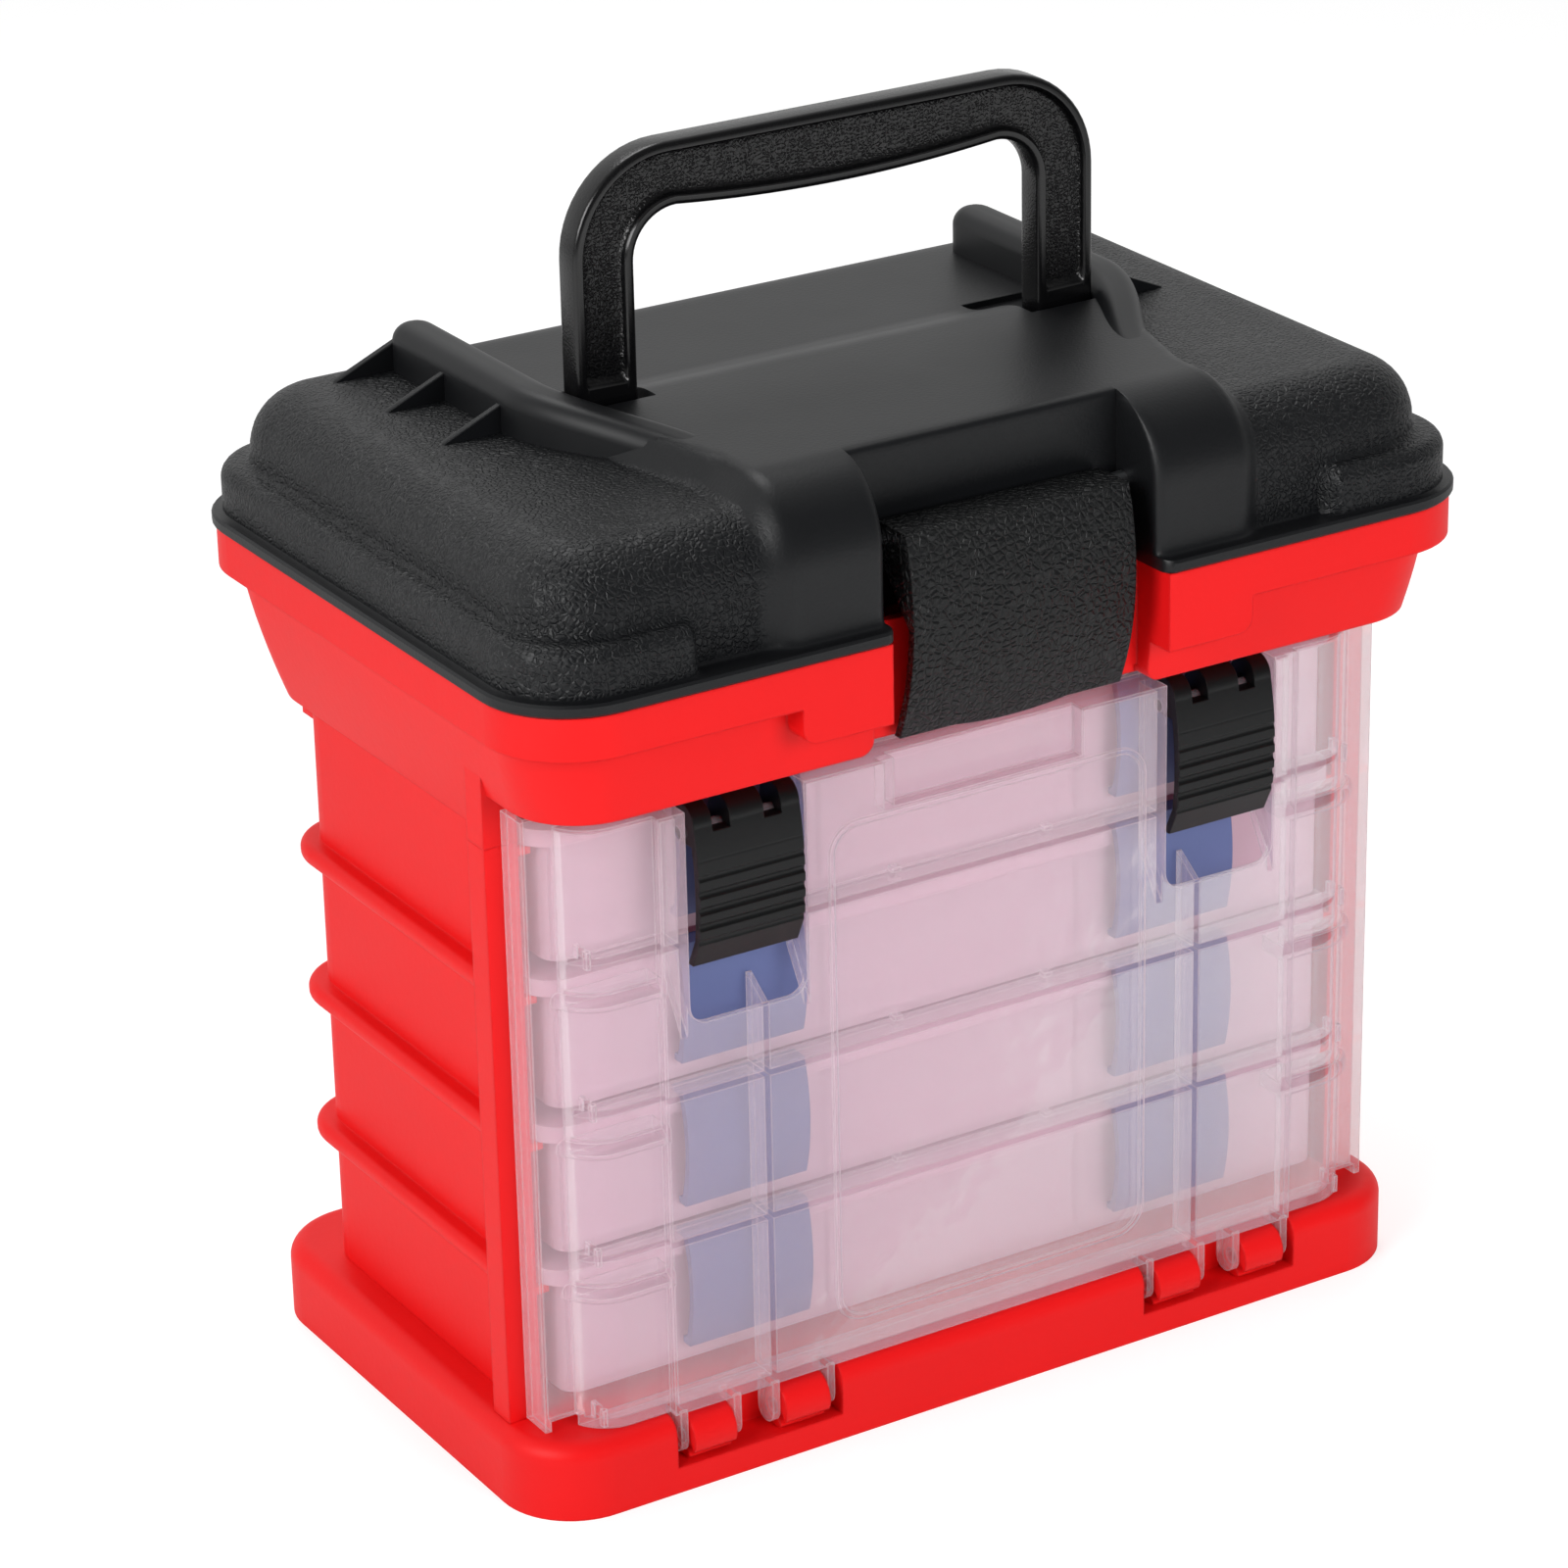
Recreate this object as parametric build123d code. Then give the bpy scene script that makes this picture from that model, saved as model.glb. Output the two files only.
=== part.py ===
from build123d import *
import math
import os

# Tackle box with a top compartment under a hinged lid, a front door and four organizers.
# Millimetres. X runs to the right, Y to the back and Z up. The origin is on the underside,
# under the crossing of the plinth's two ribs, and the door and the main latch face -Y.

# Overall sizes; a cut or a lap runs "past" beyond the surface it meets
brim_width = 270.0
brim_depth = 177.5
brim_corner = 23.6
wall = 2.4
seam = 0.3
joint_play = 0.07
past = 1.0

# Plinth
plinth_width = 260.7
plinth_depth = 147.5
plinth_shift = 3.7
plinth_height = 20.0
plinth_corner = 20.0
plinth_edge = 4.5
rib_thickness = 3.0

# Cabinet
cabinet_half = 120.5
cabinet_back = 59.7
cabinet_front = -48.6
cabinet_corner = 12.0
post_half = 127.0
post_depth = 8.0
rail_reach = 5.0
rail_height = 5.0
rail_round = 2.2

# Organizers
organizer_count = 4
organizer_pitch = 38.5
organizer_height = 34.5
organizer_first_top = 59.5
organizer_width = 234.8
organizer_depth = 110.6
tray_inset = 4.6
organizer_skin = 1.5
lid_skirt = 4.4
tray_corner = 5.0
lid_corner = cabinet_corner - wall + seam
tray_collar = 1.8
tray_head_gap = 0.1
bay_count = 3
divider_thickness = 1.4
divider_play = 0.4
divider_drop = 3.0
divider_lift = 0.05
slot_rib = 1.0
ledge_thickness = 2.0
ledge_reach = 3.4

# Organizer latches
snap_width = 34.4
snap_centre = 63.0
snap_height = 29.5
snap_skin = 1.7
snap_bulge = 2.2
snap_hook = 3.2
snap_lift = 0.2

# Top tub
tub_flare_height = 33.5
tub_half_width = 130.0
tub_half_depth = 80.8
tub_corner = 18.6
tub_side_taper = 8.3
tub_depth_taper = 4.8
tub_bow = 0.35
tub_height = 44.2
tub_foot_drop = 3.0
tub_floor_gap = 11.0
skirt_gap = 10.5
rim_band_height = 10.7
rim_inset = 1.0
rim_corner = 22.6
niche_half = 39.0
niche_back = -74.3
niche_foot_rise = 1.8
niche_corner = 3.5
pad_half = 63.5
pad_drop = 9.2
pad_corner = 4.0
keeper_half = 24.0
keeper_depth = 3.2
keeper_height = 3.0
keeper_drop = 9.5

# Lid
lid_seam = 0.2
flange_thickness = 3.2
bead_inset = 3.0
bead_inset_front = 2.6
bead_height = 12.1
bead_round = 4.0
bead_gap_half = 89.0
dome_half_width = 126.0
dome_half_depth = 80.8
dome_corner = 20.0
dome_height = 33.8
dome_round = 15.0
dome_chamfer = 9.0
band_half = 80.0
band_half_front = 66.5
band_knee_back = -2.3
band_knee_front = -54.3
band_back = 67.7
band_height = 40.6
band_round = 20.0
pillar_front = -84.3
rest_floor_drop = 6.8
ramp_front = -3.6
ramp_back = 22.0
recess_half = 38.0
recess_back = -65.3
ridge_centre = 82.0
ridge_radius = 6.0
ridge_round = 4.6
nose_radius = 5.4
ridge_height = 45.6
ridge_front = -8.0
ridge_back = 65.7
gusset_places = (62.7, 35.7, 7.7)
gusset_foot = 103.0
gusset_thickness = 2.0

# Handle
handle_half = 73.5
handle_leg = 16.3
handle_thickness = 8.2
handle_height = 63.0
handle_grip = 15.8
handle_belly = 2.4
handle_corner = 26.0
handle_inner_corner = 12.0
handle_border = 2.8
handle_web = 3.6
handle_pivot_y = -1.6
handle_pivot_drop = 2.5
trunnion_radius = 3.0
trunnion_reach = 5.5
leg_pocket_inner = 54.0
leg_pocket_front = -7.6
leg_pocket_back = 24.0
leg_pocket_drop = 8.6
leg_pocket_corner = 3.0

# Main latch
latch_half = 31.3
latch_skin = 2.4
latch_top_gap = 17.7
latch_drop = 53.3
latch_top_y = -81.4
latch_bulge_y = -84.6
latch_foot_y = -77.4
latch_pivot_y = -69.6
latch_pivot_drop = 4.0
latch_barrel = 3.8
latch_pin_radius = 2.0
latch_hook_depth = 3.4
latch_cheek = 2.2
tongue_half = 16.0
tongue_drop = 1.5

# Door
door_rim_half = 122.5
door_half = 115.0
door_rim_depth = 9.4
door_depth = 19.6
door_step_half = 92.0
door_step = 2.5
door_corner = 12.0
door_skin = 1.7
door_foot_gap = 0.6
door_head_gap = 3.3
door_rim_rise = 2.9
shelf_reach = 9.5
shelf_thickness = 1.6
shelf_drops = (35.1, 74.7, 113.2)
shelf_nub_x = 22.0
shelf_nub_half = 1.2
fin_centre = 109.0
fin_thickness = 1.2
fin_height = 3.0
bay_inner = 52.2
bay_outer = 84.6
bay_sill_drop = 54.9
bay_corner = 5.0
rib_centre = 62.9
rib_apex = 5.0
door_rib_half = 0.8
head_recess_half = 27.0
head_recess_drop = 12.4
head_recess_depth = 4.3
panel_half = 45.7
panel_foot = 31.3
panel_head_drop = 13.3
panel_corner = 8.0
panel_bead = 1.4
panel_proud = 0.7
bulge_reach = 2.0
bulge_height = 4.0
bulge_round = 1.6
bulge_start = 90.0
hinge_y = -65.5
hinge_z = 13.0
hinge_bar_radius = 2.0
hinge_tab_radius = 3.6
hinge_tab_thickness = 2.0
hinge_tabs = (48.0, 63.9, 74.9, 90.0)
hinge_hooks = ((49.6, 62.3), (76.5, 88.4))
hook_radius = 5.8
hook_entry_angle = 225
hook_entry = 3.0
pocket_margin = 1.6
pocket_floor = 7.0
pocket_back = -59.5

# Door latches
clip_width = 28.9
clip_centre = 68.4
clip_rise = 0.5
clip_foot = 138.0
clip_skin = 2.2
clip_head_y = -69.4
clip_bulge_y = -71.4
clip_bend_y = -70.8
clip_bend_rise = 7.0
clip_foot_y = -67.4
clip_roll = 5.0
clip_pivot_y = -64.7
clip_pivot_drop = 7.0
clip_bar_radius = 1.6
clip_cheek = 5.0
clip_centre_half = 4.6
clip_window_drop = 6.4
groove_count = 6
groove_pitch = 4.2
groove_radius = 1.2
groove_rise = 0.7

# Rear hinge
rear_overhang = 2.75
rear_pivot_drop = 3.0
rear_barrel = 3.6
rear_pin_radius = 1.5
rear_station = 85.0
rear_knuckle = 18.0
rear_side_knuckle = 11.0
knuckle_gap = 0.4

# Heights worked out from the stack of organizers
stack_top = organizer_first_top + (organizer_count - 1) * organizer_pitch
tub_foot = stack_top - tub_foot_drop
tub_floor_under = stack_top + tub_floor_gap
skirt_foot = stack_top + skirt_gap
door_head = stack_top + door_head_gap
rim_top = tub_foot + tub_height
lid_seat = rim_top + lid_seam
band_top = lid_seat + band_height
rest_floor = band_top - rest_floor_drop
handle_pivot_z = band_top - handle_pivot_drop
latch_top = band_top - latch_top_gap
latch_pivot_z = latch_top - latch_pivot_drop
clip_head = door_head + clip_rise
clip_pivot_z = clip_head - clip_pivot_drop
rear_pivot_y = brim_depth / 2 + rear_overhang
rear_pivot_z = rim_top - rear_pivot_drop
cabinet_inner = cabinet_half - wall
cabinet_inner_back = cabinet_back - wall
door_back = cabinet_front - seam
door_front = door_back - door_depth
door_foot = plinth_height + door_foot_gap
plinth_front = plinth_shift - plinth_depth / 2


def block(x0, x1, y0, y1, z0, z1):
    """A box between two corners."""
    size = Box(x1 - x0, y1 - y0, z1 - z0)
    return Pos((x0 + x1) / 2, (y0 + y1) / 2, (z0 + z1) / 2) * size


def rounded_block(x0, x1, y0, y1, z0, z1, radius):
    """A box whose four upright edges are rounded."""
    outline = RectangleRounded(x1 - x0, y1 - y0, radius)
    return extrude(Pos((x0 + x1) / 2, (y0 + y1) / 2, z0) * outline, z1 - z0)


def centred_block(half_width, half_depth, z0, z1, radius):
    """A rounded block centred on the Z axis."""
    return rounded_block(-half_width, half_width, -half_depth, half_depth, z0, z1, radius)


def across(profile, x0, x1):
    """A profile drawn in (Y, Z) and carried along X."""
    return extrude(Plane.YZ.offset(x0) * profile, x1 - x0)


def rod(y, z, radius, x0, x1):
    """A round bar along X."""
    return across(Pos(y, z) * Circle(radius), x0, x1)


def sided(side, near, far):
    """The low and high X of a span that lies between two distances from the centre."""
    return tuple(sorted((side * near, side * far)))


def top_edges(solid):
    """The edges that lie on the solid's highest plane."""
    return solid.edges().group_by(Axis.Z)[-1]


def organizer_top(index):
    """Height of an organizer's top face, the lowest one being number 1."""
    return organizer_first_top + (index - 1) * organizer_pitch


# Case


def base_plate():
    """Plinth: a deck on a skirt, with two ribs underneath and the door's hinge pockets."""
    half_w = plinth_width / 2
    back = plinth_shift + plinth_depth / 2
    deck = rounded_block(-half_w, half_w, plinth_front, back, 0, plinth_height, plinth_corner)
    deck = fillet(top_edges(deck), plinth_edge)
    hollow = rounded_block(
        wall - half_w, half_w - wall, plinth_front + wall, back - wall,
        0, plinth_height - wall, plinth_corner - wall,
    )
    pocket_low = hinge_tabs[0] - hinge_tab_thickness / 2 - pocket_margin
    pocket_high = hinge_tabs[-1] + hinge_tab_thickness / 2 + pocket_margin
    for side in (-1, 1):
        x0, x1 = sided(side, pocket_low - wall, pocket_high + wall)
        hollow -= block(x0, x1, plinth_front, pocket_back + wall, 0, plinth_height)
    rib_head = plinth_height - wall / 2
    ribs = block(-half_w + wall, half_w - wall, -rib_thickness / 2, rib_thickness / 2, 0, rib_head)
    ribs += block(-rib_thickness / 2, rib_thickness / 2, plinth_front + wall, back - wall, 0, rib_head)
    plate = deck - hollow + ribs
    for side in (-1, 1):
        x0, x1 = sided(side, pocket_low, pocket_high)
        plate -= block(x0, x1, plinth_front - past, pocket_back, pocket_floor, plinth_height + past)
        for near, far in hinge_hooks:
            plate += hinge_hook(*sided(side, near, far))
    return plate


def hinge_hook(x0, x1):
    """A hook that reaches forward from the pocket and wraps the door's hinge bar."""
    eye = Pos(hinge_y, hinge_z) * Circle(hook_radius)
    arm_height = 2 * hook_radius
    arm_length = pocket_back - hinge_y
    arm = Pos(hinge_y + arm_length / 2, hinge_z) * Rectangle(arm_length, arm_height)
    profile = eye + arm - Pos(hinge_y, hinge_z) * Circle(hinge_bar_radius + joint_play)
    turned = Pos(hinge_y, hinge_z) * Rot(0, 0, hook_entry_angle)
    entry = turned * Pos(hook_radius, 0) * Rectangle(2 * hook_radius, hook_entry)
    return across(profile - entry, x0, x1)


def cabinet_shell(inset, front, low, high):
    """The U of the walls between two heights as a solid block, taken in all round by an inset."""
    half = cabinet_half - inset
    back = cabinet_back - inset
    tall = rounded_block(-half, half, front - 2 * cabinet_corner, back, low, high, cabinet_corner - inset)
    return tall - block(-half - past, half + past, front - 3 * cabinet_corner, front, low - past, high + past)


def cabinet_posts(low, high):
    """The two front posts between two heights."""
    posts = []
    for side in (-1, 1):
        x0, x1 = sided(side, cabinet_inner, post_half)
        posts.append(block(x0, x1, cabinet_front, cabinet_front + post_depth, low, high))
    return posts


def cabinet_rail(top):
    """A rounded rib that runs round the outside of the walls."""
    half = cabinet_half + rail_reach
    back = cabinet_back + rail_reach
    front = cabinet_front + post_depth
    rail = rounded_block(
        -half, half, front - 3 * cabinet_corner, back, top - rail_height, top, cabinet_corner + rail_reach
    )
    rail = fillet(rail.edges().filter_by(Axis.Z, reverse=True), rail_round)
    ends = block(
        -half - past, half + past, front - 4 * cabinet_corner, front, top - rail_height - past, top + past
    )
    return rail - ends


def cabinet_walls():
    """Side walls and back in one U, with posts, outer ribs and inner ledges."""
    walls = cabinet_shell(0, cabinet_front, plinth_height, tub_foot)
    for post in cabinet_posts(plinth_height, tub_foot):
        walls += post
    for index in range(1, organizer_count):
        walls += cabinet_rail(organizer_top(index))
    walls -= cabinet_shell(wall, cabinet_front - past, plinth_height, tub_foot)
    for index in range(1, organizer_count + 1):
        for side in (-1, 1):
            walls += organizer_ledge(side, organizer_top(index))
    return walls


def organizer_ledge(side, top):
    """The ledge inside a side wall that one organizer's lid edge runs on."""
    x0, x1 = sided(side, cabinet_inner - ledge_reach, cabinet_inner + wall / 2)
    z1 = top - lid_skirt - seam
    return block(x0, x1, cabinet_front, cabinet_inner_back + wall / 2, z1 - ledge_thickness, z1)


def tub_flare(inset):
    """The tub's body, which widens from its foot to its full width, faster near the foot."""
    sections = []
    for share in (0, 0.25, 0.5, 0.75, 1):
        taper = (1 - share) * (1 - tub_bow * share)
        half_x = tub_half_width - tub_side_taper * taper - inset
        half_y = tub_half_depth - tub_depth_taper * taper - inset
        outline = RectangleRounded(2 * half_x, 2 * half_y, tub_corner - inset)
        sections.append(Pos(0, 0, tub_foot + tub_flare_height * share) * outline)
    return loft(sections)


def tub_block(inset, rim_inset_now):
    """The whole tub as a solid: flare, straight body and rim band."""
    flare_top = tub_foot + tub_flare_height
    band_foot = rim_top - rim_band_height
    half_w = brim_width / 2 - rim_inset - rim_inset_now
    half_d = brim_depth / 2 - rim_inset - rim_inset_now
    body = tub_flare(inset)
    body += centred_block(
        tub_half_width - inset, tub_half_depth - inset, flare_top, rim_top, tub_corner - inset
    )
    band = centred_block(half_w, half_d, band_foot + inset, rim_top, rim_corner - rim_inset_now)
    return body + band


def niche_block(margin, back, z0, z1):
    """The space in the tub's front that the main latch hangs in, grown by a margin."""
    return block(-niche_half - margin, niche_half + margin, -brim_depth, back + margin, z0, z1)


def top_tub():
    """Flared top compartment with its floor and collar, the latch niche, keeper and knuckles."""
    outer = tub_block(0, 0) + niche_pad()
    for post in cabinet_posts(tub_foot, tub_foot + tub_flare_height):
        outer += post
    inner = tub_block(wall, wall)
    floor = inner & block(
        -brim_width, brim_width, -brim_depth, brim_depth, tub_floor_under, tub_floor_under + wall
    )
    inner -= niche_block(wall, niche_back, tub_floor_under, rim_top)
    tub = outer - inner + floor
    collar_head = tub_floor_under + wall / 2
    collar = cabinet_shell(0, cabinet_front, tub_foot, collar_head)
    for post in cabinet_posts(tub_foot, collar_head):
        collar += post
    tub += collar - cabinet_shell(wall, cabinet_front - past, tub_foot, collar_head)
    tub -= niche_block(0, niche_back, tub_foot, rim_top + past)
    tub -= niche_block(0, niche_back + wall, tub_foot, skirt_foot + niche_foot_rise)
    tub -= block(-brim_width, brim_width, -brim_depth, cabinet_front, tub_foot - past, skirt_foot)
    keeper_top = rim_top - keeper_drop
    keeper_foot = keeper_top - keeper_height
    tub += block(-keeper_half, keeper_half, niche_back - keeper_depth, niche_back, keeper_foot, keeper_top)
    for side in (-1, 1):
        tub -= niche_rounding(side)
        tub += rear_knuckles(side, False)
    return tub


def niche_pad():
    """The rim band's round-cornered apron round the niche, before the niche is cut out of it."""
    front = rim_inset - brim_depth / 2
    outline = RectangleRounded(2 * pad_half, 2 * pad_drop, pad_corner)
    plane = Plane(origin=(0, front, rim_top - rim_band_height), x_dir=(-1, 0, 0), z_dir=(0, 1, 0))
    return extrude(plane * outline, wall - tub_half_depth - front)


def niche_rounding(side):
    """What the round lower corner of the skirt beside the niche leaves out."""
    x0, x1 = sided(side, niche_half - past, niche_half + niche_corner)
    middle = skirt_foot + niche_corner
    plane = Plane(
        origin=(side * (niche_half + niche_corner), -brim_depth, middle), x_dir=(-1, 0, 0), z_dir=(0, 1, 0)
    )
    round_corner = extrude(plane * Circle(niche_corner), brim_depth)
    return block(x0, x1, -brim_depth, niche_back + wall, skirt_foot - past, middle) - round_corner


def rear_knuckles(side, on_lid):
    """One hinge station's knuckles: the middle one is the lid's, the outer two are the tub's."""
    centre = side * rear_station
    half = rear_knuckle / 2
    if on_lid:
        spans = [(centre - half, centre + half)]
        arm_low, arm_high = lid_seat, lid_seat + flange_thickness / 2
    else:
        outer = half + knuckle_gap + rear_side_knuckle
        spans = [(centre - outer, centre - half - knuckle_gap), (centre + half + knuckle_gap, centre + outer)]
        arm_low, arm_high = rear_pivot_z - rear_barrel, rear_pivot_z
    arm_front = brim_depth / 2 - rim_inset - wall / 2
    group = None
    for x0, x1 in spans:
        barrel = rod(rear_pivot_y, rear_pivot_z, rear_barrel, x0, x1)
        if on_lid:
            arm = across(lid_knuckle_arm(arm_low, arm_high), x0, x1)
        else:
            arm = block(x0, x1, arm_front, rear_pivot_y, arm_low, arm_high)
        hole = rod(rear_pivot_y, rear_pivot_z, rear_pin_radius + joint_play, x0 - past, x1 + past)
        knuckle = barrel + arm - hole
        group = knuckle if group is None else group + knuckle
    return group


def lid_knuckle_arm(low, high):
    """Side view of the arm from the lid's brim down to its knuckle."""
    edge = brim_depth / 2
    lean_y, lean_z = 0.8, 0.6
    points = [
        (edge - 2 * wall, low),
        (edge, low),
        (rear_pivot_y - rear_barrel * lean_y, rear_pivot_z + rear_barrel * lean_z),
        (rear_pivot_y, rear_pivot_z),
        (rear_pivot_y + rear_barrel * lean_y, rear_pivot_z + rear_barrel * lean_z),
        (rear_pivot_y, high),
        (edge - 2 * wall, high),
    ]
    return make_face(Polyline(*points, close=True))


def lid_hinge_pins():
    """Two steel pins, one through each rear hinge station."""
    reach = rear_knuckle / 2 + knuckle_gap + rear_side_knuckle
    pins = []
    for side in (-1, 1):
        centre = side * rear_station
        pins.append(rod(rear_pivot_y, rear_pivot_z, rear_pin_radius, centre - reach, centre + reach))
    return Compound(children=pins)


# Lid


def band_side(inset):
    """Side view of the central band: pillar front, rounded shoulder, flat, ramp and handle rest."""
    front = pillar_front + inset
    top = band_top - inset
    floor = rest_floor - inset
    radius = band_round - inset
    foot = lid_seat + flange_thickness
    back = band_back - inset
    shoulder = ThreePointArc(
        (front, top - radius),
        (front + radius * (1 - math.sqrt(0.5)), top - radius * (1 - math.sqrt(0.5))),
        (front + radius, top),
    )
    outline = [
        Line((front, foot), (front, top - radius)),
        shoulder,
        Polyline((front + radius, top), (ramp_front - inset, top), (ramp_back - inset, floor), (back, floor)),
        Polyline((back, floor), (back, foot), (front, foot)),
    ]
    return make_face(outline)


def band_block(inset):
    """The central band: its side view carried across and cut to its plan."""
    wide = band_half - inset
    narrow = band_half_front - inset
    plan = make_face(
        Polyline(
            (-wide, band_back), (wide, band_back), (wide, band_knee_back), (narrow, band_knee_front),
            (narrow, pillar_front - past), (-narrow, pillar_front - past), (-narrow, band_knee_front),
            (-wide, band_knee_back), close=True,
        )
    )
    return across(band_side(inset), -wide, wide) & extrude(Pos(0, 0, lid_seat) * plan, 2 * band_height)


def leg_pocket(side, margin):
    """The hollow in the band that one leg of the handle turns and lies in."""
    x0, x1 = sided(side, leg_pocket_inner - margin, ridge_centre - ridge_radius + margin)
    floor = band_top - leg_pocket_drop - margin
    radius = leg_pocket_corner + margin
    head = band_top + handle_height
    return rounded_block(x0, x1, leg_pocket_front - margin, leg_pocket_back + margin, floor, head, radius)


def ridge(side):
    """A round-topped beam beside the band, with a sloping nose that runs into the band."""
    x = side * ridge_centre
    foot = lid_seat + dome_height
    length = ridge_back - ridge_front + ridge_radius
    plan = Pos(x, ridge_back - length / 2, foot) * SlotOverall(length, 2 * ridge_radius, rotation=90)
    beam = extrude(plan, ridge_height - dome_height)
    beam = fillet(top_edges(beam), ridge_round)
    start = Vector(x, ridge_front, lid_seat + ridge_height - ridge_radius)
    end = Vector(
        side * (band_half_front - ridge_radius), band_knee_front + ridge_radius, band_top - ridge_radius
    )
    run = end - start
    return beam + extrude(Plane(origin=start, z_dir=run) * Circle(nose_radius), run.length)


def gusset(side, y):
    """A thin triangular rib between a ridge and the dome."""
    near = ridge_centre + ridge_radius - past
    foot = lid_seat + dome_height - past
    head = lid_seat + ridge_height - ridge_radius + past
    outline = Polyline((side * near, foot), (side * gusset_foot, foot), (side * near, head), close=True)
    plane = Plane(origin=(0, y + gusset_thickness / 2, 0), x_dir=(1, 0, 0), z_dir=(0, -1, 0))
    return extrude(plane * make_face(outline), gusset_thickness)


def lid_inside():
    """The hollow under the lid."""
    lower = centred_block(
        brim_width / 2 - bead_inset - wall, brim_depth / 2 - bead_inset_front - wall,
        lid_seat - past, lid_seat + flange_thickness + bead_height - wall, brim_corner - bead_inset - wall,
    )
    gap_half = bead_gap_half + wall
    lower -= block(-gap_half, gap_half, -brim_depth, wall - dome_half_depth, lid_seat - 2, band_top)
    dome = centred_block(
        dome_half_width - wall, dome_half_depth - wall, lid_seat, lid_seat + dome_height - wall,
        dome_corner - wall,
    )
    dome = chamfer(top_edges(dome), dome_chamfer)
    hollow = lower + dome + band_block(wall)
    for side in (-1, 1):
        hollow -= leg_pocket(side, wall)
        x0, x1 = sided(side, leg_pocket_inner - wall, band_half)
        hollow -= block(
            x0, x1, ridge_front - 2 * ridge_radius, band_back, lid_seat + dome_height - wall, band_top + past
        )
    hollow -= block(
        -recess_half - wall, recess_half + wall, -brim_depth, recess_back + wall,
        lid_seat - 2, band_top + past,
    )
    return hollow


def lid():
    """Brim, bead, dome, band, ridges and gussets in one moulding."""
    flange_top = lid_seat + flange_thickness
    shell = centred_block(brim_width / 2, brim_depth / 2, lid_seat, flange_top, brim_corner)
    bead = centred_block(
        brim_width / 2 - bead_inset, brim_depth / 2 - bead_inset_front, flange_top, flange_top + bead_height,
        brim_corner - bead_inset,
    )
    bead = fillet(top_edges(bead), bead_round)
    bead_head = flange_top + 2 * bead_height
    bead -= block(-bead_gap_half, bead_gap_half, -brim_depth, -dome_half_depth, flange_top, bead_head)
    dome = centred_block(
        dome_half_width, dome_half_depth, lid_seat, lid_seat + dome_height, dome_corner
    )
    dome = fillet(top_edges(dome), dome_round)
    shell += bead
    shell += dome
    shell += band_block(0)
    for side in (-1, 1):
        shell += ridge(side)
    shell -= lid_inside()
    shell -= block(
        -recess_half, recess_half, -brim_depth, recess_back, lid_seat - past, band_top + past
    )
    for side in (-1, 1):
        shell -= leg_pocket(side, 0)
        x0, x1 = sided(side, handle_half - past, handle_half + trunnion_reach + past)
        shell -= rod(handle_pivot_y, handle_pivot_z, trunnion_radius + joint_play, x0, x1)
        for y in gusset_places:
            shell += gusset(side, y)
        shell += rear_knuckles(side, True)
    pin_hole = rod(
        latch_pivot_y, latch_pivot_z, latch_pin_radius + joint_play, -recess_half - wall, recess_half + wall
    )
    return shell - pin_hole


def main_latch_pin():
    """The pin between the pillars that the main latch turns on."""
    return rod(latch_pivot_y, latch_pivot_z, latch_pin_radius, -recess_half - wall, recess_half + wall)


# Handle


def handle_arch(half, top, corner, inner_half, inner_top, inner_corner, foot):
    """The U of the handle seen from the front, with its belly hanging in the grip."""
    turn = 1 - math.sqrt(0.5)
    outer = [
        Line((-half, foot), (-half, top - corner)),
        ThreePointArc(
            (-half, top - corner), (-half + corner * turn, top - corner * turn), (-half + corner, top)
        ),
        Line((-half + corner, top), (half - corner, top)),
        ThreePointArc(
            (half - corner, top), (half - corner * turn, top - corner * turn), (half, top - corner)
        ),
        Line((half, top - corner), (half, foot)),
        Line((half, foot), (inner_half, foot)),
        Line((inner_half, foot), (inner_half, inner_top - inner_corner)),
        ThreePointArc(
            (inner_half, inner_top - inner_corner),
            (inner_half - inner_corner * turn, inner_top - inner_corner * turn),
            (inner_half - inner_corner, inner_top),
        ),
        ThreePointArc(
            (inner_half - inner_corner, inner_top),
            (0, inner_top - handle_belly),
            (inner_corner - inner_half, inner_top),
        ),
        ThreePointArc(
            (inner_corner - inner_half, inner_top),
            (inner_corner * turn - inner_half, inner_top - inner_corner * turn),
            (-inner_half, inner_top - inner_corner),
        ),
        Line((-inner_half, inner_top - inner_corner), (-inner_half, foot)),
        Line((-inner_half, foot), (-half, foot)),
    ]
    return make_face(outer)


def handle():
    """Carrying handle: an I-section U with a round foot and a trunnion on each leg."""
    top = handle_pivot_z + handle_height
    inner_half = handle_half - handle_leg
    inner_top = top - handle_grip
    border = handle_border
    arch = handle_arch(
        handle_half, top, handle_corner, inner_half, inner_top, handle_inner_corner, handle_pivot_z
    )
    web = handle_arch(
        handle_half - border, top - border, handle_corner - border, inner_half + border,
        inner_top + border, handle_inner_corner + border, handle_pivot_z + border + handle_thickness / 2,
    )
    front = handle_pivot_y - handle_thickness / 2
    plane = Plane(origin=(0, front, 0), x_dir=(1, 0, 0), z_dir=(0, -1, 0))
    body = extrude(plane * arch, -handle_thickness)
    depth = (handle_thickness - handle_web) / 2
    body -= extrude(plane * web, -depth)
    rear = Plane(origin=(0, front + handle_thickness, 0), x_dir=(1, 0, 0), z_dir=(0, -1, 0))
    body -= extrude(rear * web, depth)
    for side in (-1, 1):
        x0, x1 = sided(side, inner_half, handle_half)
        body += rod(handle_pivot_y, handle_pivot_z, handle_thickness / 2, x0, x1)
        x0, x1 = sided(side, handle_half - past, handle_half + trunnion_reach)
        body += rod(handle_pivot_y, handle_pivot_z, trunnion_radius, x0, x1)
    return body


# Main latch


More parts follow.
